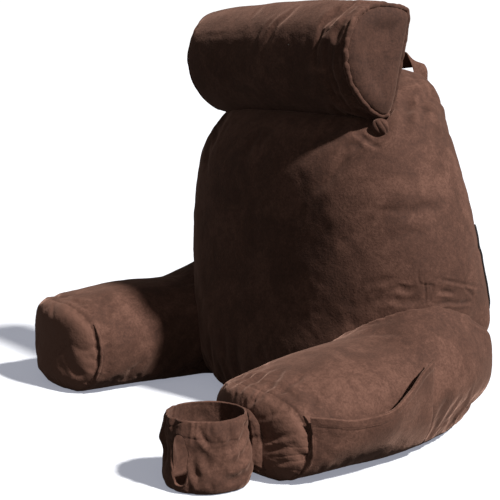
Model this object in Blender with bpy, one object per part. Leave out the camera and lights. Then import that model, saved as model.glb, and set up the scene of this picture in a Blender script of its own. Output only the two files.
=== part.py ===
"""Reading pillow with arms: a filled backrest, two filled arms that wrap forward from its sides,
a half-moon neck roll, a carry strap, a side pocket and a cup holder.

Units are metres, +Z is up and +Y runs from the reader's lap to the backrest's rear. The origin is
the middle of the backrest's flat base. The arm at +X carries the pocket and the cup holder.
"""

import math

import bmesh
import bpy
from mathutils import Matrix, Vector

# ---------------------------------------------------------------- driving dimensions
CLEARANCE = 0.0003          # between two pieces that are sewn or pressed together
SMALL_STEP = 0.01           # share of a path, for working out its direction
FAR_RISE = 0.026            # the arm at -X is filled this much higher at its front
FAR_TOE_OUT = 0.010         # and leans out this much there
CAP_Y = -0.310              # plane in which an arm's front end seam lies
ARM_X = 0.250               # arm's middle, from the pillow's middle, at that plane
CAP_SWEEP = 0.020           # how far the end seam runs back at the arm's widest point
CAP_CROWN = 0.013           # how far the end panel bulges out in front of its seam
SEAM_RIDGE = 0.0025         # height of a sewn seam's ridge
SEAM_GROOVE = 0.0040        # depth of the groove beside it
SEAM_WIDTH = 0.003

ROLL_LENGTH = 0.372
ROLL_END_CROWN = 0.005      # bulge of the roll's end panels
ROLL_BELLY = 0.08           # how much fuller the roll is at its middle than at its end seams
ROLL_CENTRE_Y = -0.064      # neck roll's middle
ROLL_CENTRE_Z = 0.490

CUP_RADIUS = 0.051          # outside of the cup holder's sleeve
CUP_HEIGHT = 0.086
CUP_SHIFT = 0.003           # the sleeve sits this far off the arm's middle
CUP_WALL = 0.003
CUP_GATHERS = 12            # folds that the elastic draws round the rim
CUP_GATHER = 0.0016         # their depth at the rim
CUP_GATHER_FROM = 0.052     # height at which they start
CUP_RIM = 0.001             # rounding of the rim's top
CUP_TURN = math.radians(20) # slot's place, from straight ahead towards +X
SLOT_WIDTH = 0.024          # opening for a mug's handle
SLOT_SQUARENESS = 2.6
SLOT_LOW = 0.011
SLOT_HIGH = 0.072
SLOT_POINTS = 24

STRAP_WIDTH = 0.026
STRAP_THICK = 0.003
STRAP_Y = 0.090             # strap's middle line

POCKET_THICK = 0.0028
POCKET_HEM = 0.0014         # extra thickness of the turned top edge, on each face
POCKET_OFF = 0.0008         # pocket cloth's distance from the arm where it is sewn down

# ---------------------------------------------------------------- tables
# Backrest: horizontal sections. height, half_width, front_y, rear_y
BACK_SECTIONS = (
    (0.000, 0.189, -0.111, 0.114),
    (0.010, 0.210, -0.133, 0.139),
    (0.040, 0.227, -0.145, 0.156),
    (0.100, 0.242, -0.148, 0.166),
    (0.145, 0.260, -0.144, 0.169),
    (0.175, 0.269, -0.142, 0.159),
    (0.205, 0.272, -0.140, 0.146),
    (0.250, 0.266, -0.138, 0.134),
    (0.300, 0.255, -0.138, 0.125),
    (0.350, 0.238, -0.134, 0.116),
    (0.392, 0.219, -0.117, 0.108),
    (0.414, 0.206, -0.090, 0.103),
    (0.432, 0.190, -0.050, 0.100),
    (0.450, 0.169, -0.022, 0.098),
    (0.466, 0.137, 0.004, 0.096),
    (0.476, 0.098, 0.026, 0.090),
    (0.481, 0.050, 0.042, 0.076),
)
BACK_SQUARENESS = 2.35
BACK_CROWN = 0.001          # of the last section's middle
BACK_LEVELS = 28
BACK_POINTS = 56

# Arm at +X: sections square to its middle line. x, y, half_width, height, squareness
ARM_STATIONS = (
    (0.250, -0.310, 0.096, 0.109, 2.5),
    (0.250, -0.268, 0.099, 0.117, 2.5),
    (0.249, -0.195, 0.098, 0.131, 2.5),
    (0.247, -0.150, 0.097, 0.135, 2.5),
    (0.244, -0.115, 0.096, 0.142, 2.4),
    (0.240, -0.080, 0.094, 0.164, 2.3),
    (0.230, -0.040, 0.091, 0.184, 2.15),
    (0.211, 0.002, 0.087, 0.182, 2.0),
    (0.185, 0.036, 0.082, 0.162, 1.95),
    (0.150, 0.060, 0.074, 0.146, 1.95),
)
ARM_REST = 0.006            # depth of the round that the floor flattens
ARM_SECTIONS = 18
FIRST_SECTION = 0.045       # share of the length at which the plain sections start
SWEEP_SHARE = 0.2           # share of the length over which the end seam's sweep fades
FRONT_SHARE = 0.625         # share of the length over which FAR_RISE and FAR_TOE_OUT fade
TAIL_REACH = Vector((-0.022, 0.010, 0.0))   # from the last section to the tail's end
TAIL_TAPER = 0.35
ARM_POINTS = 40

# End panel: rings from the seam to the middle. share of the section, share of the crown
CAP_RINGS = ((0.955, 0.10), (0.90, 0.42), (0.78, 0.74), (0.60, 0.92), (0.36, 1.00))

# Neck roll's section, from its middle: forward of it (towards -Y) and above it, anticlockwise
ROLL_OUTLINE = (
    (-0.052, 0.062),
    (-0.036, 0.072),
    (0.000, 0.074),
    (0.030, 0.064),
    (0.049, 0.040),
    (0.056, 0.008),
    (0.050, -0.022),
    (0.033, -0.048),
    (0.008, -0.068),
    (-0.014, -0.074),
    (-0.026, -0.062),
    (-0.036, -0.020),
    (-0.046, 0.024),
)
# Roll's end panel: rings from the middle to the seam's ridge. share of the section, share of the crown
ROLL_END_RINGS = ((0.40, 1.00), (0.70, 0.80), (0.90, 0.30), (0.945, -0.20), (1.01, 0.00))
ROLL_POINTS = 44
ROLL_SECTIONS = 12

# Cup holder's outside: share of CUP_RADIUS, height
CUP_PROFILE = (
    (0.880, 0.0000),
    (0.965, 0.0035),
    (1.005, 0.0120),
    (1.020, 0.0300),
    (1.000, 0.0520),
    (1.005, 0.0660),
    (0.980, 0.0760),
    (0.940, 0.0830),
    (0.930, CUP_HEIGHT),
)
CUP_POINTS = 60
CUP_FLAT = 0.0485           # the sleeve's flat back, from its middle
PANEL_THICK = 0.0037        # cloth panel between the sleeve and the arm's end
PANEL_HALF_WIDTH = 0.036    # at its top
PANEL_FLARE = 0.008         # wider at its foot by this much on each side
PANEL_SQUARENESS = 7.0
PANEL_POINTS = 36
PANEL_LOW = 0.006
PANEL_HIGH = 0.084

# Carry strap's middle line above the backrest: x, z
STRAP_PATH = (
    (0.097, 0.436),
    (0.097, 0.462),
    (0.090, 0.482),
    (0.072, 0.496),
    (0.046, 0.500),
    (0.000, 0.497),
)
STRAP_STEPS = 40

# Pocket's top edge: y of the arm's middle line beside it, height, how far it stands out from the arm
POCKET_EDGE = (
    (-0.284, 0.087, 0.0005),
    (-0.262, 0.083, 0.011),
    (-0.230, 0.081, 0.020),
    (-0.192, 0.087, 0.023),
    (-0.163, 0.101, 0.019),
    (-0.134, 0.118, 0.010),
    (-0.105, 0.131, 0.0005),
)
POCKET_FOOT = 0.016         # height of its lower seam
POCKET_WIDEST = 0.062       # height at which the arm is widest, where the cloth stands free
FREE_STAND = 0.006          # cloth that stands out this much has its hem on both faces
HEM_FROM = 0.86             # share of the height at which the hem starts
HEM_STEP = 0.06
POCKET_COLUMNS = 24
POCKET_ROWS = 10

# Zip's covering strip on the backrest's rear corner
ZIP_LOW = 0.149
ZIP_HIGH = 0.275
ZIP_WIDTH = 0.011
ZIP_THICK = 0.0035
ZIP_EDGE_THICK = 0.0025
ZIP_OFF = 0.0007            # from the backrest's surface
ZIP_TURN = math.radians(31) # place round the section, from +X towards +Y
ZIP_STEPS = 16

# Tab that ties the neck roll's lower corner down
TAB_CENTRE = (0.186, -0.060, 0.4045)
TAB_SIZE = (0.012, 0.010, 0.011)
TAB_GATHERS = 5
TAB_GATHER_DEPTH = 0.16     # share of its size
TAB_LEVELS = 8
TAB_POINTS = 20

PLUSH_COLOUR = (0.105, 0.048, 0.032)
PLUSH_ROUGHNESS = 0.85
ZIP_COLOUR = (0.012, 0.010, 0.012)
ZIP_ROUGHNESS = 0.7
SHARP_ANGLE = math.radians(60)  # a steeper edge than this stays crisp


# ---------------------------------------------------------------- helpers
def clear_scene():
    for obj in list(bpy.data.objects):
        bpy.data.objects.remove(obj, do_unlink=True)


def cloth_material(name, colour=PLUSH_COLOUR, roughness=PLUSH_ROUGHNESS):
    material = bpy.data.materials.new(name + "_cloth")
    material.use_nodes = True
    shader = material.node_tree.nodes["Principled BSDF"]
    shader.inputs["Base Color"].default_value = (*colour, 1.0)
    shader.inputs["Roughness"].default_value = roughness
    shader.inputs["Metallic"].default_value = 0.0
    return material


def catmull(rows, share, closed=False):
    """The smooth curve through the rows, at a share of the way from the first to the last."""
    count = len(rows)
    spans = count if closed else count - 1
    place = min(max(share, 0.0), 1.0) * spans
    first = min(int(place), spans - 1)
    t = place - first

    def row(index):
        if closed:
            return rows[index % count]
        return rows[min(max(index, 0), count - 1)]

    values = []
    for before, start, end, after in zip(row(first - 1), row(first), row(first + 1), row(first + 2)):
        slope = (end - before) / 2
        next_slope = (after - start) / 2
        values.append(
            (2 * t**3 - 3 * t**2 + 1) * start
            + (t**3 - 2 * t**2 + t) * slope
            + (3 * t**2 - 2 * t**3) * end
            + (t**3 - t**2) * next_slope
        )
    return values


def blend_at(rows, key):
    """The smooth curve through the rows, at a value of their first column."""
    low, high = 0.0, 1.0
    for _ in range(40):
        middle = (low + high) / 2
        if (catmull(rows, middle)[0] < key) == (rows[0][0] < rows[-1][0]):
            low = middle
        else:
            high = middle
    return catmull(rows, (low + high) / 2)


def rounded(angle, squareness):
    """A point of a unit superellipse: 2 is a circle, more is squarer."""
    c, s = math.cos(angle), math.sin(angle)
    power = 2 / squareness
    return math.copysign(abs(c) ** power, c), math.copysign(abs(s) ** power, s)


def turns(count):
    """Evenly spaced angles round a full turn."""
    return [2 * math.pi * i / count for i in range(count)]


def skin(name, rings, start=None, end=None, **finish):
    """A closed solid through the rings, its ends drawn to the points start and end, or flat."""
    mesh = bpy.data.meshes.new(name)
    bm = bmesh.new()
    loops = [[bm.verts.new(point) for point in ring] for ring in rings]
    count = len(rings[0])
    for lower, upper in zip(loops, loops[1:]):
        for i in range(count):
            j = (i + 1) % count
            bm.faces.new((lower[i], lower[j], upper[j], upper[i]))
    for loop, tip in ((loops[0], start), (loops[-1], end)):
        if tip is None:
            bm.faces.new(loop)
            continue
        middle = bm.verts.new(tip)
        for i in range(count):
            bm.faces.new((loop[i], loop[(i + 1) % count], middle))
    bmesh.ops.recalc_face_normals(bm, faces=bm.faces)
    bm.to_mesh(mesh)
    bm.free()
    obj = bpy.data.objects.new(name, mesh)
    bpy.context.scene.collection.objects.link(obj)
    mesh.materials.append(cloth_material(name, **finish))
    mesh.shade_smooth()
    mesh.set_sharp_from_angle(angle=SHARP_ANGLE)
    return obj


def cutter_from(obj, clearance=CLEARANCE):
    """A copy that stands clearance proud of the object all over, for cutting its neighbours."""
    copy = bpy.data.objects.new(obj.name + "_cutter", obj.data.copy())
    bpy.context.scene.collection.objects.link(copy)
    normals = [vertex.normal.copy() for vertex in copy.data.vertices]
    for vertex, normal in zip(copy.data.vertices, normals):
        vertex.co += normal * clearance
    copy.hide_render = True
    copy.display_type = "WIRE"
    return copy


def cut(obj, cutter):
    modifier = obj.modifiers.new("Cut_" + cutter.name, "BOOLEAN")
    modifier.operation = "DIFFERENCE"
    modifier.solver = "EXACT"
    modifier.object = cutter


# ---------------------------------------------------------------- backrest
def back_point(height, angle, proud=0.0):
    """A point on the backrest's surface, or proud of it, at a height and an angle round it."""
    _, half_width, front, rear = blend_at(BACK_SECTIONS, height)
    across, along = rounded(angle, BACK_SQUARENESS)
    middle = (front + rear) / 2
    half_depth = (rear - front) / 2
    outward = Vector((across / half_width, along / half_depth, 0.0)).normalized()
    return Vector((across * half_width, middle + along * half_depth, height)) + outward * proud


def make_backrest():
    levels = [catmull(BACK_SECTIONS, i / (BACK_LEVELS - 1))[0] for i in range(BACK_LEVELS)]
    angles = turns(BACK_POINTS)
    rings = [[back_point(level, angle) for angle in angles] for level in levels]
    height, _, front, rear = BACK_SECTIONS[-1]
    return skin("backrest", rings, end=Vector((0.0, (front + rear) / 2, height + BACK_CROWN)))


# ---------------------------------------------------------------- arms
def arm_frame(share, rise=0.0, toe_out=0.0):
    """An arm's section at a share of its length: middle, way across, half width, height, squareness."""
    x, y, half_width, height, squareness = catmull(ARM_STATIONS, share)
    front = max(0.0, 1 - share / FRONT_SHARE)
    ahead = catmull(ARM_STATIONS, min(share + SMALL_STEP, 1.0))
    behind = catmull(ARM_STATIONS, max(share - SMALL_STEP, 0.0))
    along = Vector((ahead[0] - behind[0], ahead[1] - behind[1], 0.0)).normalized()
    across = Vector((along.y, -along.x, 0.0))
    middle = Vector((x + toe_out * front, y, 0.0))
    return middle, across, half_width, height + rise * front, squareness


def section_point(section, angle, scale=1.0, proud=0.0):
    """A point of an arm's section, scaled about its middle; its underside is flat on the floor."""
    middle, across, half_width, height, squareness = section
    side, rise = rounded(angle, squareness)
    reach = 0.5 * height * scale
    if rise < 0:
        reach += ARM_REST * scale
    point = middle + across * (side * (half_width * scale + proud))
    point.z = max(0.5 * height + rise * (reach + proud), 0.0)
    return point


def swept_back(angle, strength):
    """How far a point of the end seam lies behind the seam's plane."""
    return CAP_SWEEP * strength * rounded(angle, 2.0)[0] ** 2


def make_arm(name, side, rise=0.0, toe_out=0.0):
    """An arm at +X (side 1) or -X (side -1), from its end panel to its tail inside the backrest."""
    angles = turns(ARM_POINTS)
    cap = arm_frame(0.0, rise, toe_out)
    cap_middle = cap[0] + Vector((0.0, 0.0, 0.5 * cap[3]))
    rings = []
    for share, crown in reversed(CAP_RINGS):
        ring = []
        for angle in angles:
            point = section_point(cap, angle, scale=share)
            point.y += swept_back(angle, share**2) - CAP_CROWN * crown
            ring.append(point)
        rings.append(ring)
    groove = [section_point(cap, angle, 1 - SEAM_GROOVE / cap[2]) for angle in angles]
    ridge = [section_point(cap, angle, proud=SEAM_RIDGE) for angle in angles]
    for ring, shift in ((groove, 0.001), (ridge, 0.0), (ridge, SEAM_WIDTH)):
        rings.append([p + Vector((0, swept_back(a, 1.0) + shift, 0)) for p, a in zip(ring, angles)])
    for i in range(ARM_SECTIONS):
        share = FIRST_SECTION + (1 - FIRST_SECTION) * i / (ARM_SECTIONS - 1)
        fade = max(0.0, 1 - share / SWEEP_SHARE)
        section = arm_frame(share, rise, toe_out)
        rings.append([section_point(section, a) + Vector((0, swept_back(a, fade), 0)) for a in angles])
    tail_middle = arm_frame(1.0)[0] + Vector((0.0, 0.0, 0.5 * ARM_STATIONS[-1][3]))
    rings.append([point.lerp(tail_middle, TAIL_TAPER) + TAIL_REACH for point in rings[-1]])
    start = cap_middle - Vector((0, CAP_CROWN, 0))
    obj = skin(name, rings, start=start, end=tail_middle + TAIL_REACH * 1.3)
    if side < 0:
        obj.data.transform(Matrix.Scale(-1, 4, Vector((1, 0, 0))))
        obj.data.flip_normals()
    return obj


# ---------------------------------------------------------------- neck roll
def roll_ring(x, scale):
    ring = []
    for i in range(ROLL_POINTS):
        forward, up = catmull(ROLL_OUTLINE, i / ROLL_POINTS, closed=True)
        ring.append(Vector((x, ROLL_CENTRE_Y - forward * scale, ROLL_CENTRE_Z + up * scale)))
    return ring


def make_neck_roll():
    half = ROLL_LENGTH / 2
    body = []
    for i in range(ROLL_SECTIONS):
        x = (half - SEAM_WIDTH) * (2 * i / (ROLL_SECTIONS - 1) - 1)
        fullness = 1.0 + ROLL_BELLY * (1 - abs(2 * x / ROLL_LENGTH) ** 3)
        body.append(roll_ring(x, fullness))
    left = [roll_ring(-half - ROLL_END_CROWN * crown, share) for share, crown in ROLL_END_RINGS]
    right = [[Vector((-p.x, p.y, p.z)) for p in ring] for ring in reversed(left)]
    middle = Vector((0.0, ROLL_CENTRE_Y, ROLL_CENTRE_Z))
    reach = Vector((half + ROLL_END_CROWN, 0.0, 0.0))
    return skin("neck_roll", left + body + right, start=middle - reach, end=middle + reach)


# ---------------------------------------------------------------- cup holder
def cup_place():
    """Middle of the sleeve's base."""
    reach = CAP_CROWN + PANEL_THICK + 2 * CLEARANCE + CUP_FLAT
    return Vector((ARM_X + CUP_SHIFT, CAP_Y - reach, 0.0))


def cup_ring(radius, height, gather, flat):
    """One level of the sleeve: a round with a flat back and the folds that the elastic draws."""
    centre = cup_place()
    ring = []
    for angle in turns(CUP_POINTS):
        r = radius + gather * math.cos(CUP_GATHERS * angle)
        y = min(r * math.sin(angle), flat)
        ring.append(centre + Vector((r * math.cos(angle), y, height)))
    return ring


def make_cup_holder():
    drawn = CUP_HEIGHT - CUP_GATHER_FROM
    gathers = [CUP_GATHER * max(0.0, (height - CUP_GATHER_FROM) / drawn) for _, height in CUP_PROFILE]
    outside = [
        cup_ring(CUP_RADIUS * share, height, gather, CUP_FLAT)
        for (share, height), gather in zip(CUP_PROFILE, gathers)
    ]
    inside = [
        cup_ring(CUP_RADIUS * share - CUP_WALL, max(height, CUP_WALL), gather, CUP_FLAT - CUP_WALL)
        for (share, height), gather in zip(CUP_PROFILE, gathers)
    ]
    inside = list(reversed(inside[1:]))
    rim_radius = CUP_RADIUS * CUP_PROFILE[-1][0] - CUP_WALL / 2
    top = cup_ring(rim_radius, CUP_HEIGHT + CUP_RIM, gathers[-1], CUP_FLAT - CUP_WALL / 2)
    floor = cup_place() + Vector((0, 0, CUP_WALL))
    return skin("cup_holder", outside + [top] + inside, start=cup_place(), end=floor)


def make_slot_cutter():
    """A lens-shaped prism through the sleeve's wall, for a mug's handle."""
    direction = Vector((math.sin(CUP_TURN), -math.cos(CUP_TURN), 0.0))
    sideways = Vector((direction.y, -direction.x, 0.0))
    middle_height = (SLOT_LOW + SLOT_HIGH) / 2
    half_height = (SLOT_HIGH - SLOT_LOW) / 2
    rings = []
    for reach in (0.7 * CUP_RADIUS, 1.2 * CUP_RADIUS):
        ring = []
        for angle in turns(SLOT_POINTS):
            side, rise = rounded(angle, SLOT_SQUARENESS)
            point = cup_place() + direction * reach + sideways * (side * SLOT_WIDTH / 2)
            ring.append(point + Vector((0, 0, middle_height + rise * half_height)))
        rings.append(ring)
    cutter = skin("slot_cutter", rings)
    cutter.hide_render = True
    cutter.display_type = "WIRE"
    return cutter


def make_cup_panel():
    """The flat panel by which the sleeve is sewn to the arm's end."""
    centre = cup_place()
    rear = CAP_Y - CAP_CROWN - CLEARANCE
    middle_height = (PANEL_LOW + PANEL_HIGH) / 2
    half_height = (PANEL_HIGH - PANEL_LOW) / 2
    rings = []
    for y in (rear - PANEL_THICK, rear):
        ring = []
        for angle in turns(PANEL_POINTS):
            side, rise = rounded(angle, PANEL_SQUARENESS)
            half_width = PANEL_HALF_WIDTH + PANEL_FLARE * (1 - rise) / 2
            ring.append(Vector((centre.x + side * half_width, y, middle_height + rise * half_height)))
        rings.append(ring)
    return skin("cup_back_panel", rings)


# ---------------------------------------------------------------- pocket
def arm_share_at(y):
    low, high = 0.0, 1.0
    for _ in range(40):
        middle = (low + high) / 2
        if catmull(ARM_STATIONS, middle)[1] < y:
            low = middle
        else:
            high = middle
    return low


def arm_side(y, height):
    """The arm's outer surface at a height, level with its middle line's y, and the way out of it."""
    middle, across, half_width, arm_height, squareness = arm_frame(arm_share_at(y))
    reach = 0.5 * arm_height + (ARM_REST if height < 0.5 * arm_height else 0.0)
    rise = min(abs(height - 0.5 * arm_height) / reach, 0.999)
    side = (1 - rise**squareness) ** (1 / squareness)
    return middle + across * (half_width * side), across


def pocket_point(along, up, face):
    """A point of the pocket's cloth: along and up are shares of it, face is 0 inside and 1 outside."""
    y, top, stand = catmull(POCKET_EDGE, along)
    height = POCKET_FOOT + (top - POCKET_FOOT) * up
    hem = POCKET_HEM * min(max((up - HEM_FROM) / HEM_STEP, 0.0), 1.0)
    point, out = arm_side(y, min(height, POCKET_WIDEST))
    belly = stand * math.sin(0.5 * math.pi * min(up * 1.15, 1.0)) ** 1.4
    distance = POCKET_OFF + belly
    distance += (POCKET_THICK + hem) if face else -hem * min(belly / FREE_STAND, 1.0)
    point += out * distance
    point.z = height
    return point


def make_pocket():
    rings = []
    for column in range(POCKET_COLUMNS + 1):
        along = column / POCKET_COLUMNS
        ups = [row / POCKET_ROWS for row in range(POCKET_ROWS + 1)]
        outer = [pocket_point(along, up, 1) for up in ups]
        inner = [pocket_point(along, up, 0) for up in reversed(ups)]
        rings.append(outer + inner)
    return skin("side_pocket", rings)


# ---------------------------------------------------------------- strap, zip strip and tab
def make_strap():
    """The carry strap: a flat band along a drooping arch, trimmed where it enters the backrest."""
    half = [Vector((x, 0.0, z)) for x, z in STRAP_PATH]
    path = [Vector((-p.x, 0.0, p.z)) for p in half] + list(reversed(half[:-1]))
    rings = []
    for i in range(STRAP_STEPS + 1):
        share = i / STRAP_STEPS
        here = Vector(catmull(path, share))
        ahead = Vector(catmull(path, min(share + SMALL_STEP, 1.0)))
        behind = Vector(catmull(path, max(share - SMALL_STEP, 0.0)))
        along = (ahead - behind).normalized()
        out = Vector((-along.z, 0.0, along.x))
        ring = []
        for side, face in ((-1, -1), (1, -1), (1, 1), (-1, 1)):
            point = here + out * (face * STRAP_THICK / 2)
            point.y = STRAP_Y + side * STRAP_WIDTH / 2
            ring.append(point)
        rings.append(ring)
    return skin("carry_strap", rings)


def make_zip_strip():
    """A narrow strip down the rear corner, standing just off the backrest's surface."""
    rings = []
    for i in range(ZIP_STEPS + 1):
        height = ZIP_LOW + (ZIP_HIGH - ZIP_LOW) * i / ZIP_STEPS
        chord = back_point(height, ZIP_TURN + SMALL_STEP) - back_point(height, ZIP_TURN - SMALL_STEP)
        half_turn = SMALL_STEP * ZIP_WIDTH / chord.length
        ring = [
            back_point(height, ZIP_TURN - half_turn, ZIP_OFF),
            back_point(height, ZIP_TURN, ZIP_OFF),
            back_point(height, ZIP_TURN + half_turn, ZIP_OFF),
            back_point(height, ZIP_TURN + half_turn, ZIP_OFF + ZIP_EDGE_THICK),
            back_point(height, ZIP_TURN, ZIP_OFF + ZIP_THICK),
            back_point(height, ZIP_TURN - half_turn, ZIP_OFF + ZIP_EDGE_THICK),
        ]
        rings.append(ring)
    return skin("zip_strip", rings, colour=ZIP_COLOUR, roughness=ZIP_ROUGHNESS)


def make_tab():
    """A small knot of cloth between the neck roll's lower corner and the backrest."""
    rings = []
    for level in range(1, TAB_LEVELS):
        turn = math.pi * level / TAB_LEVELS
        ring = []
        for angle in turns(TAB_POINTS):
            width = math.sin(turn) * (1 - TAB_GATHER_DEPTH * math.cos(TAB_GATHERS * angle) ** 2)
            ring.append(Vector(TAB_CENTRE) + Vector((
                TAB_SIZE[0] * width * math.cos(angle),
                TAB_SIZE[1] * width * math.sin(angle),
                -TAB_SIZE[2] * math.cos(turn),
            )))
        rings.append(ring)
    low = Vector(TAB_CENTRE) - Vector((0, 0, TAB_SIZE[2]))
    high = Vector(TAB_CENTRE) + Vector((0, 0, TAB_SIZE[2]))
    return skin("roll_tab", rings, start=low, end=high)


# ---------------------------------------------------------------- build
def main():
    clear_scene()
    backrest = make_backrest()
    neck_roll = make_neck_roll()
    arms = [make_arm("arm_right", 1), make_arm("arm_left", -1, FAR_RISE, FAR_TOE_OUT)]
    strap = make_strap()
    tab = make_tab()
    cup_holder = make_cup_holder()
    make_cup_panel()
    make_pocket()
    make_zip_strip()

    back_cutter = cutter_from(backrest)
    roll_cutter = cutter_from(neck_roll)
    cut(backrest, roll_cutter)
    for arm in arms:
        cut(arm, back_cutter)
    cut(strap, back_cutter)
    cut(tab, back_cutter)
    cut(tab, roll_cutter)
    cut(cup_holder, make_slot_cutter())


main()
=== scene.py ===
"""Looks of the reading pillow with arms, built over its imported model.

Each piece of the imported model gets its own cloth. The filled pieces are remeshed, swelled by a short cloth
simulation and then given the folds, puckers and welts of their covers. The sewn sheets (pocket, cup sleeve,
panel, strap and zip tape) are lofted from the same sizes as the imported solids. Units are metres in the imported
model's frame.
"""

import itertools
import logging
import math
from contextlib import contextmanager
from dataclasses import dataclass, replace
from enum import Enum
from typing import Iterator, Sequence

import bmesh
import bpy
import numpy as np
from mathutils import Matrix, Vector
from mathutils.bvhtree import BVHTree


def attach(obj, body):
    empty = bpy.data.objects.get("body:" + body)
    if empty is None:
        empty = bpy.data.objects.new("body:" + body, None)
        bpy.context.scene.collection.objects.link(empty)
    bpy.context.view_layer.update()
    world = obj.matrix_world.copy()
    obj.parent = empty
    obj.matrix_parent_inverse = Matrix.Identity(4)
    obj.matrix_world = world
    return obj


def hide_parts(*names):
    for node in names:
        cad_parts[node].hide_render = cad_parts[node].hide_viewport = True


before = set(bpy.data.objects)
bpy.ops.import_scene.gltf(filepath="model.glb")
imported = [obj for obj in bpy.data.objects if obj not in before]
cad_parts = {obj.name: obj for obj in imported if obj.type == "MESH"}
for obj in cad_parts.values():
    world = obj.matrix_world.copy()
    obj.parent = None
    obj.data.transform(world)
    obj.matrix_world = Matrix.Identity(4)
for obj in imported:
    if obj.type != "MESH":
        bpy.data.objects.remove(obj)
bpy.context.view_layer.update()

LOG = logging.getLogger("reading_pillow")
BODY = "root"
GOLDEN = (1 + math.sqrt(5)) / 2
FLOOR_GAP = 0.0003  # how far the lowest cloth stays above the floor

Points = np.ndarray
Row = tuple[float, ...]


class Side(Enum):
    """Which side of the pillow a piece is on."""

    RIGHT = 1
    LEFT = -1


class FoldKind(Enum):
    """How cloth stands along a fold: its valley and its two lips, as shares of the fold's depth."""

    CREASE = (-1.0, 0.30, 0.30)
    TUCK = (-0.8, 0.60, 0.10)
    RIDGE = (0.8, -0.35, -0.35)
    GROOVE = (-1.0, 0.0, 0.0)


# ---------------------------------------------------------------- curves, noise and meshes
def catmull(rows: Sequence[Row], share: float, closed: bool = False) -> list[float]:
    """A point of the smooth curve through some rows.

    Args:
        rows: the rows that the curve passes through.
        share: how far along the curve, from 0 to 1.
        closed: True where the last row joins the first.

    Returns:
        The curve's values there, as many as a row has.
    """
    count = len(rows)
    spans = count if closed else count - 1
    place = min(max(share, 0.0), 1.0) * spans
    first = min(int(place), spans - 1)
    t = place - first

    def row(index: int) -> Row:
        """The row at an index, held or wrapped at the ends."""
        return rows[index % count] if closed else rows[min(max(index, 0), count - 1)]

    values = []
    for before, start, end, after in zip(row(first - 1), row(first), row(first + 1), row(first + 2)):
        values.append(
            (2 * t**3 - 3 * t**2 + 1) * start
            + (t**3 - 2 * t**2 + t) * (end - before) / 2
            + (3 * t**2 - 2 * t**3) * end
            + (t**3 - t**2) * (after - start) / 2
        )
    return values


def smooth_path(rows: Sequence[Row], count: int, closed: bool = False) -> Points:
    """Points spaced along the smooth curve through some rows.

    Args:
        rows: the rows that the curve passes through.
        count: how many points to give.
        closed: True where the last row joins the first.

    Returns:
        An array with one row per point.
    """
    last = count if closed else count - 1
    return np.array([catmull(rows, i / last, closed) for i in range(count)])


def rounded(angle: float, squareness: float) -> tuple[float, float]:
    """A point of a unit superellipse at an angle; a squareness of 2 is a circle."""
    c, s = math.cos(angle), math.sin(angle)
    power = 2 / squareness
    return math.copysign(abs(c) ** power, c), math.copysign(abs(s) ** power, s)


def turns(count: int) -> list[float]:
    """Evenly spaced angles round a full turn."""
    return [2 * math.pi * i / count for i in range(count)]


def step_up(values: Points, start: float, end: float) -> Points:
    """A smooth rise from 0 at start to 1 at end."""
    t = np.clip((values - start) / (end - start), 0.0, 1.0)
    return t * t * (3 - 2 * t)


def step(value: float, start: float, end: float) -> float:
    """The same smooth rise for one number."""
    return float(step_up(np.array(value), start, end))


def hump(values: Points, width: float) -> Points:
    """A smooth hump, 1 where the values are 0, that falls off over a width."""
    return np.exp(-((values / width) ** 2))


def unit(rows: Points) -> Points:
    """Rows scaled to a length of 1."""
    return rows / np.linalg.norm(rows, axis=1, keepdims=True).clip(1e-9)


def run_along(path: Points) -> Points:
    """The distance from a path's start to each of its points."""
    return np.concatenate([[0.0], np.cumsum(np.linalg.norm(np.diff(path, axis=0), axis=1))])


def within(points: Points, path: Points, reach: float) -> Points:
    """Which points lie in a path's box, widened by a reach."""
    return np.all((points > path.min(0) - reach) & (points < path.max(0) + reach), axis=1)


@dataclass(frozen=True)
class SoftNoise:
    """Smooth and repeatable unevenness, from -1 to 1, for the give of filled cloth."""

    seed: int
    spacing: tuple[float, float, float]
    cells: int = 48  # the noise repeats after so many spacings

    def at(self, points: Points) -> Points:
        """The unevenness at some points.

        Args:
            points: an array with a row per point, in metres.

        Returns:
            One number per point.
        """
        size = self.cells
        lattice = np.random.default_rng(self.seed).uniform(-1, 1, (size, size, size))
        grid = points / np.array(self.spacing) + size * 10
        cell = np.floor(grid).astype(np.int64)
        part = grid - cell
        part = part * part * (3 - 2 * part)
        total = np.zeros(len(points))
        for corner in itertools.product((0, 1), repeat=3):
            share = np.prod(np.where(corner, part, 1 - part), axis=1)
            index = (cell + corner) % size
            total += share * lattice[index[:, 0], index[:, 1], index[:, 2]]
        return total


def layered(points: Points, layers: Sequence[tuple[float, Row, int]]) -> Points:
    """The sum of several kinds of unevenness at some points, each given as (height, spacing, seed)."""
    return sum(height * SoftNoise(seed, spacing).at(points) for height, spacing, seed in layers)


OPEN_WAVES = 4096  # waves after which a noise along an open seam repeats


def wavy(places: Points, spacing: float, seed: int, length: float | None = None) -> Points:
    """Smooth one-way noise along a seam.

    Args:
        places: distances along the seam, in metres.
        spacing: distance between neighbouring waves.
        seed: which noise.
        length: the seam's length where it closes on itself.

    Returns:
        A number from -1 to 1 per place.
    """
    count = max(int(round(length / spacing)), 3) if length else OPEN_WAVES
    values = np.random.default_rng(seed).uniform(-1, 1, count)
    grid = places / (length / count if length else spacing) + (0 if length else OPEN_WAVES // 4)
    cell = np.floor(grid).astype(np.int64)
    part = grid - cell
    part = part * part * (3 - 2 * part)
    return values[cell % count] * (1 - part) + values[(cell + 1) % count] * part


def coords(piece: bpy.types.Object) -> Points:
    """Where a mesh's vertices are, one row each."""
    flat = np.empty(len(piece.data.vertices) * 3)
    piece.data.vertices.foreach_get("co", flat)
    return flat.reshape(-1, 3)


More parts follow.
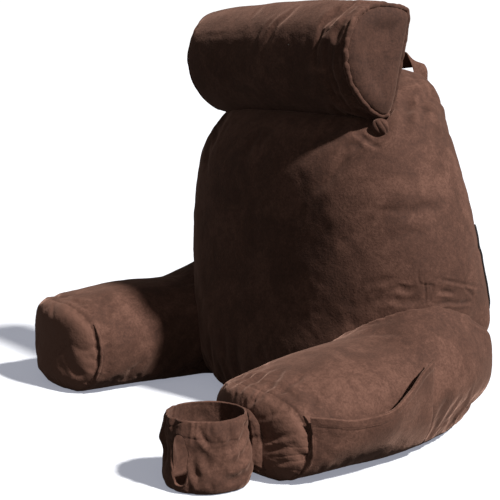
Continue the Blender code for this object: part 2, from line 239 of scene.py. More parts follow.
def set_coords(piece: bpy.types.Object, points: Points) -> None:
    """Moves a mesh's vertices to new places."""
    piece.data.vertices.foreach_set("co", np.ascontiguousarray(points, np.float32).ravel())
    piece.data.update()


def normals(piece: bpy.types.Object) -> Points:
    """The way out of a mesh at each vertex."""
    flat = np.empty(len(piece.data.vertices) * 3, np.float32)
    piece.data.vertices.foreach_get("normal", flat)
    return flat.reshape(-1, 3).astype(float)


def edges_of(piece: bpy.types.Object) -> np.ndarray:
    """A mesh's edges as pairs of vertex numbers."""
    flat = np.empty(len(piece.data.edges) * 2, np.int32)
    piece.data.edges.foreach_get("vertices", flat)
    return flat.reshape(-1, 2)


def evened(values: Points, edges: np.ndarray, rounds: int, share: float = 0.5) -> Points:
    """Values that are drawn towards their neighbours' mean.

    Args:
        values: one row per vertex.
        edges: pairs of vertex numbers.
        rounds: how many times.
        share: how far each time.

    Returns:
        The evened values.
    """
    values = values.reshape(len(values), -1).copy()
    count = np.bincount(edges.ravel(), minlength=len(values)).clip(1)
    a, b = edges[:, 0], edges[:, 1]
    for _ in range(rounds):
        for k in range(values.shape[1]):
            column = values[:, k]
            total = np.bincount(a, column[b], len(column)) + np.bincount(b, column[a], len(column))
            values[:, k] = column + share * (total / count - column)
    return values


def apply_modifiers(piece: bpy.types.Object) -> None:
    """Makes what a piece's modifiers do its own mesh."""
    depsgraph = bpy.context.evaluated_depsgraph_get()
    mesh = bpy.data.meshes.new_from_object(piece.evaluated_get(depsgraph))
    piece.modifiers.clear()
    piece.data = mesh


@contextmanager
def editing(mesh: bpy.types.Mesh) -> Iterator[bmesh.types.BMesh]:
    """Opens a mesh for editing, and writes it back at the end."""
    bm = bmesh.new()
    bm.from_mesh(mesh)
    yield bm
    bm.to_mesh(mesh)
    bm.free()


def link(name: str, mesh: bpy.types.Mesh) -> bpy.types.Object:
    """A new object in the scene that shows a mesh."""
    piece = bpy.data.objects.new(name, mesh)
    bpy.context.scene.collection.objects.link(piece)
    return piece


def loft(
    name: str,
    rings: Points,
    start: Points | None = None,
    end: Points | None = None,
    closed: bool = True,
) -> bpy.types.Object:
    """A smooth-shaded mesh through rings of points.

    Args:
        name: the piece's name.
        rings: an array of rings, each a row of points.
        start: the point that the first ring is drawn to, or None for an open end.
        end: the point that the last ring is drawn to, or None for an open end.
        closed: True where each ring's last point joins its first.

    Returns:
        The new object.
    """
    rings = np.asarray(rings, float)
    levels, count = rings.shape[:2]
    points = rings.reshape(-1, 3)
    faces = []
    for level in range(levels - 1):
        low, high = level * count, (level + 1) * count
        for i in range(count if closed else count - 1):
            j = (i + 1) % count
            faces.append((low + i, low + j, high + j, high + i))
    for ring, tip in ((0, start), (levels - 1, end)):
        if tip is None:
            continue
        points = np.vstack([points, tip])
        for i in range(count):
            faces.append((ring * count + i, ring * count + (i + 1) % count, len(points) - 1))
    mesh = bpy.data.meshes.new(name)
    mesh.from_pydata(points.tolist(), [], faces)
    with editing(mesh) as bm:
        bmesh.ops.recalc_face_normals(bm, faces=bm.faces)
    mesh.shade_smooth()
    return link(name, mesh)


def closed_loft(name: str, rings: Points) -> bpy.types.Object:
    """A lofted mesh that closes over the middles of its first and last rings."""
    return loft(name, rings, start=rings[0].mean(0), end=rings[-1].mean(0))


def tree_of(piece: bpy.types.Object) -> BVHTree:
    """A search tree of a mesh's faces."""
    places = [v.co.copy() for v in piece.data.vertices]
    return BVHTree.FromPolygons(places, [tuple(p.vertices) for p in piece.data.polygons])


def join_into(piece: bpy.types.Object, others: Sequence[bpy.types.Object]) -> None:
    """Adds other meshes to a piece's own mesh, and removes their objects."""
    with editing(piece.data) as bm:
        for other in others:
            bm.from_mesh(other.data)
    for other in others:
        bpy.data.objects.remove(other)
    piece.data.shade_smooth()


@dataclass
class Near:
    """Where some points lie against a seam or fold line: offset, distance and place along it."""

    offset: Points
    distance: Points
    place: Points
    tangent: Points
    length: float


def near_path(points: Points, path: Points, closed: bool = False) -> Near:
    """The nearest place of a line to each of some points.

    Args:
        points: an array with a row per point.
        path: the line's points.
        closed: True where the line's end joins its start.

    Returns:
        Where each point lies against the line.
    """
    starts = path if closed else path[:-1]
    ends = np.roll(path, -1, axis=0) if closed else path[1:]
    spans = np.linalg.norm(ends - starts, axis=1)
    run = np.concatenate([[0.0], np.cumsum(spans)])
    best = np.full(len(points), np.inf)
    offset, tangent = np.zeros((len(points), 3)), np.zeros((len(points), 3))
    place = np.zeros(len(points))
    for k, (a, b) in enumerate(zip(starts, ends)):
        if spans[k] < 1e-9:
            continue
        way = (b - a) / spans[k]
        t = np.clip((points - a) @ way, 0, spans[k])
        apart = points - a - t[:, None] * way
        square = (apart**2).sum(1)
        closer = square < best
        best[closer] = square[closer]
        offset[closer] = apart[closer]
        tangent[closer] = way
        place[closer] = run[k] + t[closer]
    return Near(offset, np.sqrt(best), place, tangent, float(run[-1]))


def laid_on(
    path: Points, on: BVHTree, rounds: tuple[int, int], closed: bool = False
) -> tuple[Points, Points, Points]:
    """A line's nearest places on a surface, evened along the line.

    Args:
        path: the line's points.
        on: search tree of the surface.
        rounds: how often the places and the ways out are evened.
        closed: True where the line's end joins its start.

    Returns:
        The places, the ways out of the surface and the ways across the line.
    """
    hits = [on.find_nearest(Vector(point))[:2] for point in path]
    places, outs = np.array([hit[0] for hit in hits]), np.array([hit[1] for hit in hits])
    count = len(places)
    pairs = np.array([(i, (i + 1) % count) for i in range(count if closed else count - 1)])
    places, outs = evened(places, pairs, rounds[0]), unit(evened(outs, pairs, rounds[1]))
    if closed:
        ways = np.roll(places, -1, axis=0) - np.roll(places, 1, axis=0)
    else:
        ways = np.gradient(places, axis=0)
    return places, outs, np.cross(unit(ways), outs)


# ---------------------------------------------------------------- folds, puckers and welts
@dataclass(frozen=True)
class Fold:
    """A fold laid along a given line on a piece's surface."""

    line: tuple[Row, ...]
    width: float
    depth: float
    kind: FoldKind = FoldKind.CREASE
    reach: float = 4.0  # how far it is felt, in widths
    sway: tuple[float, float] = (0.25, 0.019)  # how far the line wanders, in widths, and over what length
    wane: tuple[float, float, float] = (0.85, 0.35, 0.017)  # mean strength, its change, and over what length
    taper: float = 0.7  # below 1 the fold keeps its depth nearly to its ends
    lip_place: float = 1.6  # how far the lips stand from the valley, in widths
    lip_spread: float = 0.8

    @property
    def seed(self) -> int:
        """Which noise the fold follows, from its own first height."""
        return int(abs(self.line[0][2]) * 100000) % 997

    def mirrored(self, strength: float) -> "Fold":
        """The same fold on the pillow's other side, at a share of the depth."""
        line = tuple((-x, y, z) for x, y, z in self.line)
        return replace(self, line=line, depth=self.depth * strength)

    def lift(self, points: Points, outward: Points) -> Points:
        """How far the fold moves each point along the way out.

        Args:
            points: an array with a row per point.
            outward: the way out at each point.

        Returns:
            One distance per point.
        """
        path = smooth_path(self.line, 6 * len(self.line))
        moved = np.zeros(len(points))
        inside = within(points, path, self.reach * self.width)
        if not inside.any():
            return moved
        near = near_path(points[inside], path)
        across = np.cross(near.tangent, outward[inside])
        rise = (near.offset * outward[inside]).sum(1)
        level = np.sqrt(np.maximum(near.distance**2 - rise**2, 0))
        s = np.sign((across * near.offset).sum(1)) * level / self.width
        s += self.sway[0] * wavy(near.place, self.sway[1], self.seed)
        mean, change, length = self.wane
        fade = np.sin(math.pi * np.clip(near.place / near.length, 0, 1)) ** self.taper
        fade *= mean + change * wavy(near.place, length, self.seed + 1)
        valley, lip, other_lip = self.kind.value
        shape = valley * hump(s, 1.0)
        shape += lip * np.exp(-((s - self.lip_place) ** 2) / self.lip_spread)
        shape += other_lip * np.exp(-((s + self.lip_place) ** 2) / self.lip_spread)
        moved[inside] = self.depth * fade * shape
        return moved


@dataclass(frozen=True)
class Crumple:
    """Fine creases that run every way in one area of a cover."""

    middle: Row
    radius: float
    spacing: Row
    depth: float
    seed: int
    sharpness: float = 0.15
    reach: float = 1.6  # how far it is felt, in radii
    bend: float = 0.006  # how far the creases wander

    def mirrored(self, strength: float) -> "Crumple":
        """The same area on the pillow's other side, at a share of the depth."""
        x, y, z = self.middle
        return replace(self, middle=(-x, y, z), depth=self.depth * strength, seed=self.seed + 50)

    def lift(self, points: Points, outward: Points) -> Points:
        """How far the creases move each point along the way out.

        Args:
            points: an array with a row per point.
            outward: the way out at each point; not used.

        Returns:
            One distance per point.
        """
        apart = np.linalg.norm(points - np.array(self.middle), axis=1) / self.radius
        moved = np.zeros(len(points))
        inside = apart < self.reach
        spot = points[inside]
        bend = SoftNoise(self.seed + 2, self.spacing).at(spot * 0.6)
        lines = SoftNoise(self.seed, self.spacing).at(spot + self.bend * bend[:, None])
        strength = 0.6 + 0.6 * SoftNoise(self.seed + 1, tuple(2 * s for s in self.spacing)).at(spot)
        shape = 0.3 - hump(lines, self.sharpness)
        moved[inside] = self.depth * np.exp(-apart[inside] ** 3) * strength * shape
        return moved


@dataclass(frozen=True)
class Bulge:
    """A place where the filling is pushed out."""

    middle: Row
    radius: float
    height: float

    def lift(self, points: Points, outward: Points) -> Points:
        """How far each point is pushed along the way out.

        Args:
            points: an array with a row per point.
            outward: the way out at each point, as every fold is given it; not used.

        Returns:
            One distance per point.
        """
        return self.height * hump(np.linalg.norm(points - np.array(self.middle), axis=1), self.radius)


Relief = Fold | Crumple | Bulge


@dataclass(frozen=True)
class Puckers:
    """The small folds that run off a seam, square to it."""

    spacing: float
    depth: float
    reach: float
    seed: int
    clear: float = 0.004  # they start this far from the seam
    level: float = 0.45  # share of the depth by which the cloth between them stands up

    def lift(self, points: Points, seam: Points) -> Points:
        """How far the puckers move each point along the way out.

        Args:
            points: an array with a row per point.
            seam: the points of the seam, which closes on itself.

        Returns:
            One distance per point.
        """
        moved = np.zeros(len(points))
        inside = within(points, seam, 4 * self.reach)
        near = near_path(points[inside], seam, closed=True)
        place, length = near.place, near.length
        wave = wavy(place, self.spacing, self.seed, length)
        wave += 0.5 * wavy(place, self.spacing / GOLDEN, self.seed + 1, length)
        reach = self.reach * (1.0 + 0.55 * wavy(place, self.spacing * 1.3, self.seed + 2, length))
        fall = np.exp(-((near.distance / reach) ** 1.3)) * step_up(near.distance, 0.0, self.clear)
        moved[inside] = self.depth * fall * (self.level - np.abs(wave) ** 0.8)
        return moved


@dataclass(frozen=True)
class Welt:
    """The narrow ridge in which two cloths are sewn together."""

    width: float
    height: float
    seed: int
    sides: int = 10
    swell: tuple[Row, ...] = ((0.22, 0.009), (0.14, 0.0035))  # how its size changes, and over what length
    sway: tuple[float, float] = (0.14, 0.016)  # how far it wanders, in widths, and over what length

    def laid(self, path: Points, closed: bool, on: BVHTree, proud: float = 0.2) -> bpy.types.Object:
        """The welt as a mesh that follows a seam on a surface.

        Args:
            path: the seam's points.
            closed: True where it closes on itself.
            on: search tree of the surface that it lies on.
            proud: how far its middle stands off the surface, as a share of its height.

        Returns:
            The new object.
        """
        places, outs, across = laid_on(path, on, (6, 10), closed)
        run = run_along(places)
        length = run[-1] + np.linalg.norm(places[0] - places[-1]) if closed else None
        size = 1 + sum(
            share * wavy(run, span, self.seed + 2 * k, length) for k, (share, span) in enumerate(self.swell)
        )
        sway = self.sway[0] * self.width * wavy(run, self.sway[1], self.seed + 1, length)
        fade = 1.0 if closed else np.sin(math.pi * np.clip(run / run[-1], 0.02, 0.98)) ** 0.35
        rise = self.height * proud * fade * np.ones(len(places))
        middle = places + outs * rise[:, None] + across * sway[:, None]
        rings = []
        for angle in turns(self.sides):
            wide = 0.5 * self.width * size * fade * math.cos(angle)
            tall = 0.5 * self.height * size * fade * math.sin(angle)
            rings.append(middle + across * wide[:, None] + outs * tall[:, None])
        rings = np.array(rings).transpose(1, 0, 2)
        return loft("welt", np.concatenate([rings, rings[:1]])) if closed else closed_loft("welt", rings)


# ---------------------------------------------------------------- finishes
def plain_material(
    name: str, roughness: float, gloss: float
) -> tuple[bpy.types.Material, bpy.types.ShaderNode]:
    """A new material.

    Args:
        name: its name.
        roughness: how rough its surface is.
        gloss: how strong its reflection is.

    Returns:
        The material and its shader.
    """
    made = bpy.data.materials.new(name)
    made.use_nodes = True
    shader = made.node_tree.nodes["Principled BSDF"]
    shader.inputs["Roughness"].default_value = roughness
    shader.inputs["Specular IOR Level"].default_value = gloss
    return made, shader


def raise_bumps(
    made: bpy.types.Material, height: bpy.types.NodeSocket, strength: float, distance: float
) -> None:
    """Lets a material's fine relief follow a value.

    Args:
        made: the material.
        height: the value.
        strength: how strongly it is felt.
        distance: the relief's height.
    """
    nodes, wire = made.node_tree.nodes, made.node_tree.links.new
    bump = nodes.new("ShaderNodeBump")
    bump.inputs["Strength"].default_value = strength
    bump.inputs["Distance"].default_value = distance
    wire(height, bump.inputs["Height"])
    wire(bump.outputs["Normal"], nodes["Principled BSDF"].inputs["Normal"])


@dataclass(frozen=True)
class PlushFinish:
    """Short-pile plush: brushed patches, a fine nap and a soft sheen."""

    deep: Row = (0.029, 0.0125, 0.0080)
    middle: Row = (0.055, 0.0240, 0.0155)
    pale: Row = (0.100, 0.0470, 0.0320)
    # scale, detail and distortion of each noise
    patch_noise: Row = (9.0, 5.0, 1.6)
    blotch_noise: Row = (55.0, 6.0, 1.2)
    nap_noise: Row = (330.0, 5.0, 0.6)
    noise_roughness: float = 0.55
    # the values between which each noise is stretched, and how far it moves the tone
    patch_tone: Row = (0.40, 0.60, 0.14)
    blotch_tone: Row = (0.36, 0.64, 0.10)
    nap_tone: Row = (0.32, 0.68, 0.15)
    blotch_height: float = 0.8
    nap_height: float = 0.0009
    bump_strength: float = 0.55
    roughness: float = 0.88
    gloss: float = 0.18
    sheen: float = 0.30
    sheen_roughness: float = 0.42
    sheen_tint: Row = (0.62, 0.36, 0.27)

    def material(self, name: str) -> bpy.types.Material:
        """The finish as a material.

        Args:
            name: the material's name.

        Returns:
            A node material whose pile follows the piece's own coordinates, and whose tone also follows its "pile"
            values of painted shade and light.
        """
        made, shader = plain_material(name, self.roughness, self.gloss)
        nodes, wire = made.node_tree.nodes, made.node_tree.links.new
        shader.inputs["Sheen Weight"].default_value = self.sheen
        shader.inputs["Sheen Roughness"].default_value = self.sheen_roughness
        shader.inputs["Sheen Tint"].default_value = (*self.sheen_tint, 1.0)
        place = nodes.new("ShaderNodeTexCoord").outputs["Object"]

        def noise(scale: float, detail: float, distortion: float) -> bpy.types.NodeSocket:
            """One noise of the pile, at a scale."""
            node = nodes.new("ShaderNodeTexNoise")
            node.inputs["Scale"].default_value = scale
            node.inputs["Detail"].default_value = detail
            node.inputs["Roughness"].default_value = self.noise_roughness
            node.inputs["Distortion"].default_value = distortion
            wire(place, node.inputs["Vector"])
            return node.outputs["Fac"]

        def mixed(
            kind: str, a: bpy.types.NodeSocket, b: bpy.types.NodeSocket | float
        ) -> bpy.types.NodeSocket:
            """Two values put together."""
            node = nodes.new("ShaderNodeMath")
            node.operation = kind
            wire(a, node.inputs[0])
            if isinstance(b, bpy.types.NodeSocket):
                wire(b, node.inputs[1])
            else:
                node.inputs[1].default_value = b
            return node.outputs[0]

        def sharper(
            socket: bpy.types.NodeSocket, low: float, high: float, reach: float
        ) -> bpy.types.NodeSocket:
            """A noise stretched between two of its values, from -reach to reach."""
            node = nodes.new("ShaderNodeMapRange")
            node.interpolation_type = "SMOOTHSTEP"
            for key, value in (("From Min", low), ("From Max", high), ("To Min", -reach), ("To Max", reach)):
                node.inputs[key].default_value = value
            wire(socket, node.inputs["Value"])
            return node.outputs["Result"]

        nap, blotch = noise(*self.nap_noise), noise(*self.blotch_noise)
        tone = sharper(noise(*self.patch_noise), *self.patch_tone)
        tone = mixed("ADD", tone, sharper(blotch, *self.blotch_tone))
        tone = mixed("ADD", tone, sharper(nap, *self.nap_tone))
        # the "pile" values: painted shade in the valleys, painted highlight on the ridges and on the arms' end
        # panels, and the roll's darker end panels
        pile = nodes.new("ShaderNodeAttribute")
        pile.attribute_name = "pile"
        tone = mixed("ADD", tone, pile.outputs["Fac"])
        ramp = nodes.new("ShaderNodeValToRGB")
        ramp.color_ramp.elements[0].color = (*self.deep, 1.0)
        ramp.color_ramp.elements[1].color = (*self.pale, 1.0)
        ramp.color_ramp.elements.new(0.5).color = (*self.middle, 1.0)
        wire(tone, ramp.inputs["Fac"])
        wire(ramp.outputs["Color"], shader.inputs["Base Color"])
        rough = mixed("ADD", nap, mixed("MULTIPLY", blotch, self.blotch_height))
        raise_bumps(made, rough, self.bump_strength, self.nap_height)
        return made


@dataclass(frozen=True)
class ZipFinish:
    """Near-black woven tape with fine ribs."""

    colour: Row = (0.0085, 0.0065, 0.0060)
    painted_rib_light: tuple[float, float] = (0.5, 2.0)  # of the colour: painted shade between the ribs and painted highlight on them
    rib_scale: float = 150.0
    rib_bend: float = 0.6
    rib_height: float = 0.0003
    rib_strength: float = 0.4
    roughness: float = 0.62
    gloss: float = 0.12

    def material(self, name: str) -> bpy.types.Material:
        """The finish as a material.

        Args:
            name: the material's name.

        Returns:
            A node material with ribs across the tape's height, painted darker between them as shade and paler on
            them as highlight.
        """
        made, shader = plain_material(name, self.roughness, self.gloss)
        nodes, wire = made.node_tree.nodes, made.node_tree.links.new
        ribs = nodes.new("ShaderNodeTexWave")
        ribs.bands_direction = "Z"
        ribs.inputs["Scale"].default_value = self.rib_scale
        ribs.inputs["Distortion"].default_value = self.rib_bend
        wire(nodes.new("ShaderNodeTexCoord").outputs["Object"], ribs.inputs["Vector"])
        # painted shade between the ribs and painted highlight on their tops, following the same ribs as the bumps
        ramp = nodes.new("ShaderNodeValToRGB")
        for element, shade in zip(ramp.color_ramp.elements, self.painted_rib_light):
            element.color = (*[c * shade for c in self.colour], 1.0)
        wire(ribs.outputs["Fac"], ramp.inputs["Fac"])
        wire(ramp.outputs["Color"], shader.inputs["Base Color"])
        raise_bumps(made, ribs.outputs["Fac"], self.rib_strength, self.rib_height)
        return made


PLUSH = PlushFinish()
PLAIN_TONE = 0.5  # the value where nothing is painted paler or deeper
DEEPEST, PALEST = -0.28, 0.22  # how far the painted shade in valleys and the painted highlight on ridges may move that value


def paint_shade_and_tone(
    piece: bpy.types.Object, nap: float | Points = 0.0, strength: float = 130.0, rounds: int = 10
) -> None:
    """Stores painted light: a painted highlight where cloth stands proud of its surroundings and painted shade in
    its valleys.

    Args:
        piece: the object whose mesh gets the "pile" values, which carry the painted light.
        nap: how much paler (or deeper, below 0) the cloth is painted, in all or per point.
        strength: change of value per metre that a place stands proud.
        rounds: how widely the surroundings are taken.
    """
    points, out = coords(piece), normals(piece)
    # painted shade in the valleys and painted highlight on the ridges, by how far each place stands proud of its
    # surroundings
    proud = ((points - evened(points, edges_of(piece), rounds)) * out).sum(1)
    values = PLAIN_TONE + nap + np.clip(proud * strength, DEEPEST, PALEST)
    attribute = piece.data.attributes.new("pile", "FLOAT", "POINT")
    attribute.data.foreach_set("value", values.astype(np.float32))


def dress(piece: bpy.types.Object, node: str, finish: PlushFinish | ZipFinish) -> None:
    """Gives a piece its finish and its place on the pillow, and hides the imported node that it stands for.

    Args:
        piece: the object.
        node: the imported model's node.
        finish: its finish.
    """
    piece.data.materials.clear()
    piece.data.materials.append(finish.material(node + "_finish"))
    piece.data.shade_smooth()
    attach(piece, BODY)
    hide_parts(node)


# ---------------------------------------------------------------- filled pieces
CLOTH_SETTINGS = {
    "quality": 4,
    "mass": 0.3,
    "tension_stiffness": 12,
    "compression_stiffness": 12,
    "shear_stiffness": 4,
    "bending_stiffness": 0.4,
    "air_damping": 2,
    "use_pressure": True,
}


@dataclass
class FilledPiece:
    """A cover sewn round filling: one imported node, swelled and then folded."""

    node: str
    voxel: float = 0.006  # size of the remesh's cells
    weld: float = 0.00002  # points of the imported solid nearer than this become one
    slack: float = 0.0025  # how much smaller the cover starts
    growth: float = 0.030  # how much wider its cloth becomes
    pressure: float = 4.0
    cap: float = 0.012  # how far a point may move as it swells
    keep: float = 0.35  # share of the broad swelling that is kept
    fill: float = 0.7
    lumps: float = 0.0010
    small_lumps: float = 0.45  # height of the small lumps, as a share of the broad ones'
    grain: float = 0.00022
    lump_spacings: tuple[Row, ...] = ((0.070, 0.070, 0.050), (0.026, 0.026, 0.018), (0.010, 0.010, 0.008))
    floor_hold: tuple[float, float] = (0.004, 0.020)  # heights between which the floor lets go
    fine_spots: tuple[tuple[Row, float], ...] = ()
    folds: tuple[Relief, ...] = ()
    seed: int = 1
    piece: bpy.types.Object | None = None

    def cut_out(self) -> None:
        """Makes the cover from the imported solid: remeshed, evened and a little smaller."""
        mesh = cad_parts[self.node].data.copy()
        self.piece = link(self.node + "_cover", mesh)
        with editing(mesh) as bm:
            bmesh.ops.remove_doubles(bm, verts=bm.verts, dist=self.weld)
        remesh = self.piece.modifiers.new("Remesh", "REMESH")
        remesh.mode = "VOXEL"
        remesh.voxel_size = self.voxel
        apply_modifiers(self.piece)
        edges = edges_of(self.piece)
        points = coords(self.piece)
        # evening in and out again takes the cells' steps away and keeps the size
        for _ in range(4):
            points = evened(points, edges, 1, 0.5)
            points = evened(points, edges, 1, -0.51)
        set_coords(self.piece, evened(points, edges, 2, 0.5))
        set_coords(self.piece, coords(self.piece) - normals(self.piece) * self.slack)

    def held(self, points: Points) -> Points:
        """How firmly each point is held while the cover swells, from 0 to 1."""
        return 1 - step_up(points[:, 2], *self.floor_hold)

    def start_swelling(self) -> None:
        """Adds the cloth that swells under pressure and is held at the seams."""
        weights = self.held(coords(self.piece))
        group = self.piece.vertex_groups.new(name="held")
        for index in np.nonzero(weights > 0.01)[0]:
            group.add([int(index)], float(weights[index]), "REPLACE")
        cloth = self.piece.modifiers.new("Cloth", "CLOTH")
        settings = cloth.settings
        for key, value in CLOTH_SETTINGS.items():
            setattr(settings, key, value)
        settings.uniform_pressure_force = self.pressure
        settings.shrink_min = -self.growth
        settings.vertex_group_mass = "held"
        settings.effector_weights.gravity = 0
        cloth.collision_settings.use_collision = False
        cloth.collision_settings.use_self_collision = False

    def take_swelled(self) -> None:
        """Keeps the swelled shape, with each point's movement capped and the cover's outline kept."""
        depsgraph = bpy.context.evaluated_depsgraph_get()
        swelled = coords(self.piece.evaluated_get(depsgraph))
        self.piece.modifiers.clear()
        rest = coords(self.piece)
        out = normals(self.piece)
        edges = edges_of(self.piece)
        move = swelled - rest
        far = np.linalg.norm(move, axis=1, keepdims=True)
        move *= np.minimum(1.0, self.cap / far.clip(1e-9))
        broad = evened(move, edges, 60)
        level = (broad * out).sum(1, keepdims=True) * out
        even = rest + out * self.slack
        detail = (move - broad) + self.keep * (level - self.slack * out)
        set_coords(self.piece, even + detail * (1 - self.calm(rest))[:, None])

    def calm(self, points: Points) -> Points:
        """Where the cover lies smooth, from 0 to 1, without what the swelling draws in it."""
        return np.zeros(len(points))

    def finish_surface(self) -> None:
        """Doubles the mesh's density and gives the filling its soft unevenness."""
        self.piece.modifiers.new("Finer", "SUBSURF").levels = 1
        self.piece.modifiers["Finer"].render_levels = 1
        apply_modifiers(self.piece)
        points, out = coords(self.piece), normals(self.piece)
        broad, small, fine = (
            SoftNoise(self.seed + k, spacing).at(points) for k, spacing in enumerate(self.lump_spacings)
        )
        give = self.lumps * (broad + self.small_lumps * small) + self.grain * fine
        set_coords(self.piece, points + out * give[:, None])
        for middle, radius in self.fine_spots:
            self.refine(middle, radius)

    def refine(self, middle: Row, radius: float) -> None:
        """Doubles the mesh's density round a place where fine creases lie."""
        spot = Vector(middle)
        with editing(self.piece.data) as bm:
            edges = [e for e in bm.edges if all((v.co - spot).length < radius for v in e.verts)]
            bmesh.ops.subdivide_edges(bm, edges=edges, cuts=1, smooth=1.0, use_grid_fill=True)
        self.piece.data.shade_smooth()

    def shape(self, lift: Points) -> None:
        """Moves each point along its way out by a distance, and keeps it above the floor."""
        points = coords(self.piece) + normals(self.piece) * lift[:, None]
        points[:, 2] = np.maximum(points[:, 2], FLOOR_GAP)
        set_coords(self.piece, points)

    def fold(self) -> None:
        """Lays the piece's folds on its cover."""
        points, out = coords(self.piece), normals(self.piece)
        self.shape(sum(fold.lift(points, out) for fold in self.folds))

    def sew(self) -> None:
        """Gives the cover its seams and folds: here its folds alone."""
        self.fold()

    def nap(self, points: Points) -> Points:
        """How much paler or deeper the cloth is painted at each point."""
        return np.zeros(len(points))

    def plump_to(self, trees: Sequence[BVHTree], reach: float = 0.030, seam: float = 0.0035) -> None:
        """Fills the cover out where it meets other covers, so that only a narrow seam stays between them.

        Args:
            trees: search trees of the covers that it meets.
            reach: how far from them the filling out starts.
            seam: how near to them it fades out again.
        """
        points = coords(self.piece)
        lift = np.zeros(len(points))
        share = np.zeros(len(points))
        for tree in trees:
            for index, point in enumerate(points):
                spot = Vector(point)
                place, out, _, apart = tree.find_nearest(spot, reach)
                if place is None:
                    continue
                share[index] = max(share[index], math.exp(-((2 * apart / reach) ** 2)))
                if (spot - place).dot(out) > 0:
                    fade = min(apart / seam, 1.0)
                    lift[index] += reach / 4 * (1 - apart / reach) ** 2 * fade * fade * (3 - 2 * fade)
        edges = edges_of(self.piece)
        share *= step_up(points[:, 2], 0.005, 0.030)
        points += (evened(points, edges, 12) - points) * share[:, None]
        set_coords(self.piece, points)
        self.shape(evened(lift, edges, 10)[:, 0])

    def dress(self) -> None:
        paint_shade_and_tone(self.piece, self.nap(coords(self.piece)))
        dress(self.piece, self.node, PLUSH)


def swell_together(covers: Sequence[FilledPiece], frames: int = 18) -> None:
    """Swells all the filled covers in one simulation.

    Args:
        covers: the filled pieces, each already cut out.
        frames: how many steps the simulation takes.
    """
    for cover in covers:
        cover.start_swelling()
    scene = bpy.context.scene
    for number in range(1, frames + 1):
        scene.frame_set(number)
    for cover in covers:
        cover.take_swelled()
    scene.frame_set(1)


# ---------------------------------------------------------------- the arms' form, for seams and the pocket
@dataclass
class ArmForm:
    """The sizes of an arm's sections along its middle line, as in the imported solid."""

    stations: tuple[Row, ...] = (
        # x, y, half_width, height, squareness
        (0.250, -0.310, 0.096, 0.109, 2.5),
        (0.250, -0.268, 0.099, 0.117, 2.5),
        (0.249, -0.195, 0.098, 0.131, 2.5),
        (0.247, -0.150, 0.097, 0.135, 2.5),
        (0.244, -0.115, 0.096, 0.142, 2.4),
        (0.240, -0.080, 0.094, 0.164, 2.3),
        (0.230, -0.040, 0.091, 0.184, 2.15),
        (0.211, 0.002, 0.087, 0.182, 2.0),
        (0.185, 0.036, 0.082, 0.162, 1.95),
        (0.150, 0.060, 0.074, 0.146, 1.95),
    )
    rest: float = 0.006  # how far its round section reaches below the floor, which cuts it flat
    sweep: float = 0.020  # how far the end's seam curves back at its sides
    ridge: float = 0.0025
    front_share: float = 0.625  # share of the length over which the front's own form fades
    look: float = 0.01  # share ahead and behind from which the arm's direction is taken

    def section(
        self, share: float, rise: float = 0.0, toe_out: float = 0.0
    ) -> tuple[Points, Points, float, float, float]:
        """An arm's section at a share of its length.

        Args:
            share: how far along the arm, from its front end.
            rise: how much higher its front is filled.
            toe_out: how far its front leans out.

        Returns:
            Middle, way across, half width, height and squareness.
        """
        x, y, half_width, height, squareness = catmull(self.stations, share)
        front = max(0.0, 1 - share / self.front_share)
        ahead = catmull(self.stations, min(share + self.look, 1.0))
        behind = catmull(self.stations, max(share - self.look, 0.0))
        along = np.array([ahead[0] - behind[0], ahead[1] - behind[1]])
        along /= np.linalg.norm(along)
        across = np.array([along[1], -along[0], 0.0])
        return np.array([x + toe_out * front, y, 0.0]), across, half_width, height + rise * front, squareness

    def seam(self, side: Side, rise: float, toe_out: float, count: int = 300) -> Points:
        """The points of the front end's seam, for the arm on one side."""
        middle, across, half_width, height, squareness = self.section(0.0, rise, toe_out)
        ring = []
        for angle in turns(count):
            wide, tall = rounded(angle, squareness)
            reach = 0.5 * height + (self.rest if tall < 0 else 0.0)
            point = middle + across * (wide * (half_width + self.ridge))
            point[1] += self.sweep * math.cos(angle) ** 2
            point[2] = max(0.5 * height + tall * (reach + self.ridge), 0.0)
            ring.append(point * (side.value, 1, 1))
        return np.array(ring)

    def seam_at(self, height: float) -> float:
        """The y of the front end's seam on the outer side, at a height."""
        arm_height, squareness = self.stations[0][3:]
        reach = 0.5 * arm_height + self.ridge + (self.rest if height < 0.5 * arm_height else 0.0)
        rise = min(abs(height - 0.5 * arm_height) / reach, 1.0)
        return self.stations[0][1] + self.sweep * (1 - rise**squareness)

    def share_at(self, y: float) -> float:
        """How far along the arm its middle line reaches a y."""
        low, high = 0.0, 1.0
        for _ in range(30):
            middle = (low + high) / 2
            low, high = (middle, high) if catmull(self.stations, middle)[1] < y else (low, middle)
        return low

    def outer_side(self, y: float, height: float) -> tuple[Points, Points]:
        """The arm's outer surface at a height, level with its middle line's y, and the way out of it."""
        middle, across, half_width, arm_height, squareness = self.section(self.share_at(y))
        reach = 0.5 * arm_height + (self.rest if height < 0.5 * arm_height else 0.0)
        rise = min(abs(height - 0.5 * arm_height) / reach, 0.999)
        wide = (1 - rise**squareness) ** (1 / squareness)
        return middle + across * (half_width * wide), across


ARM_FORM = ArmForm()


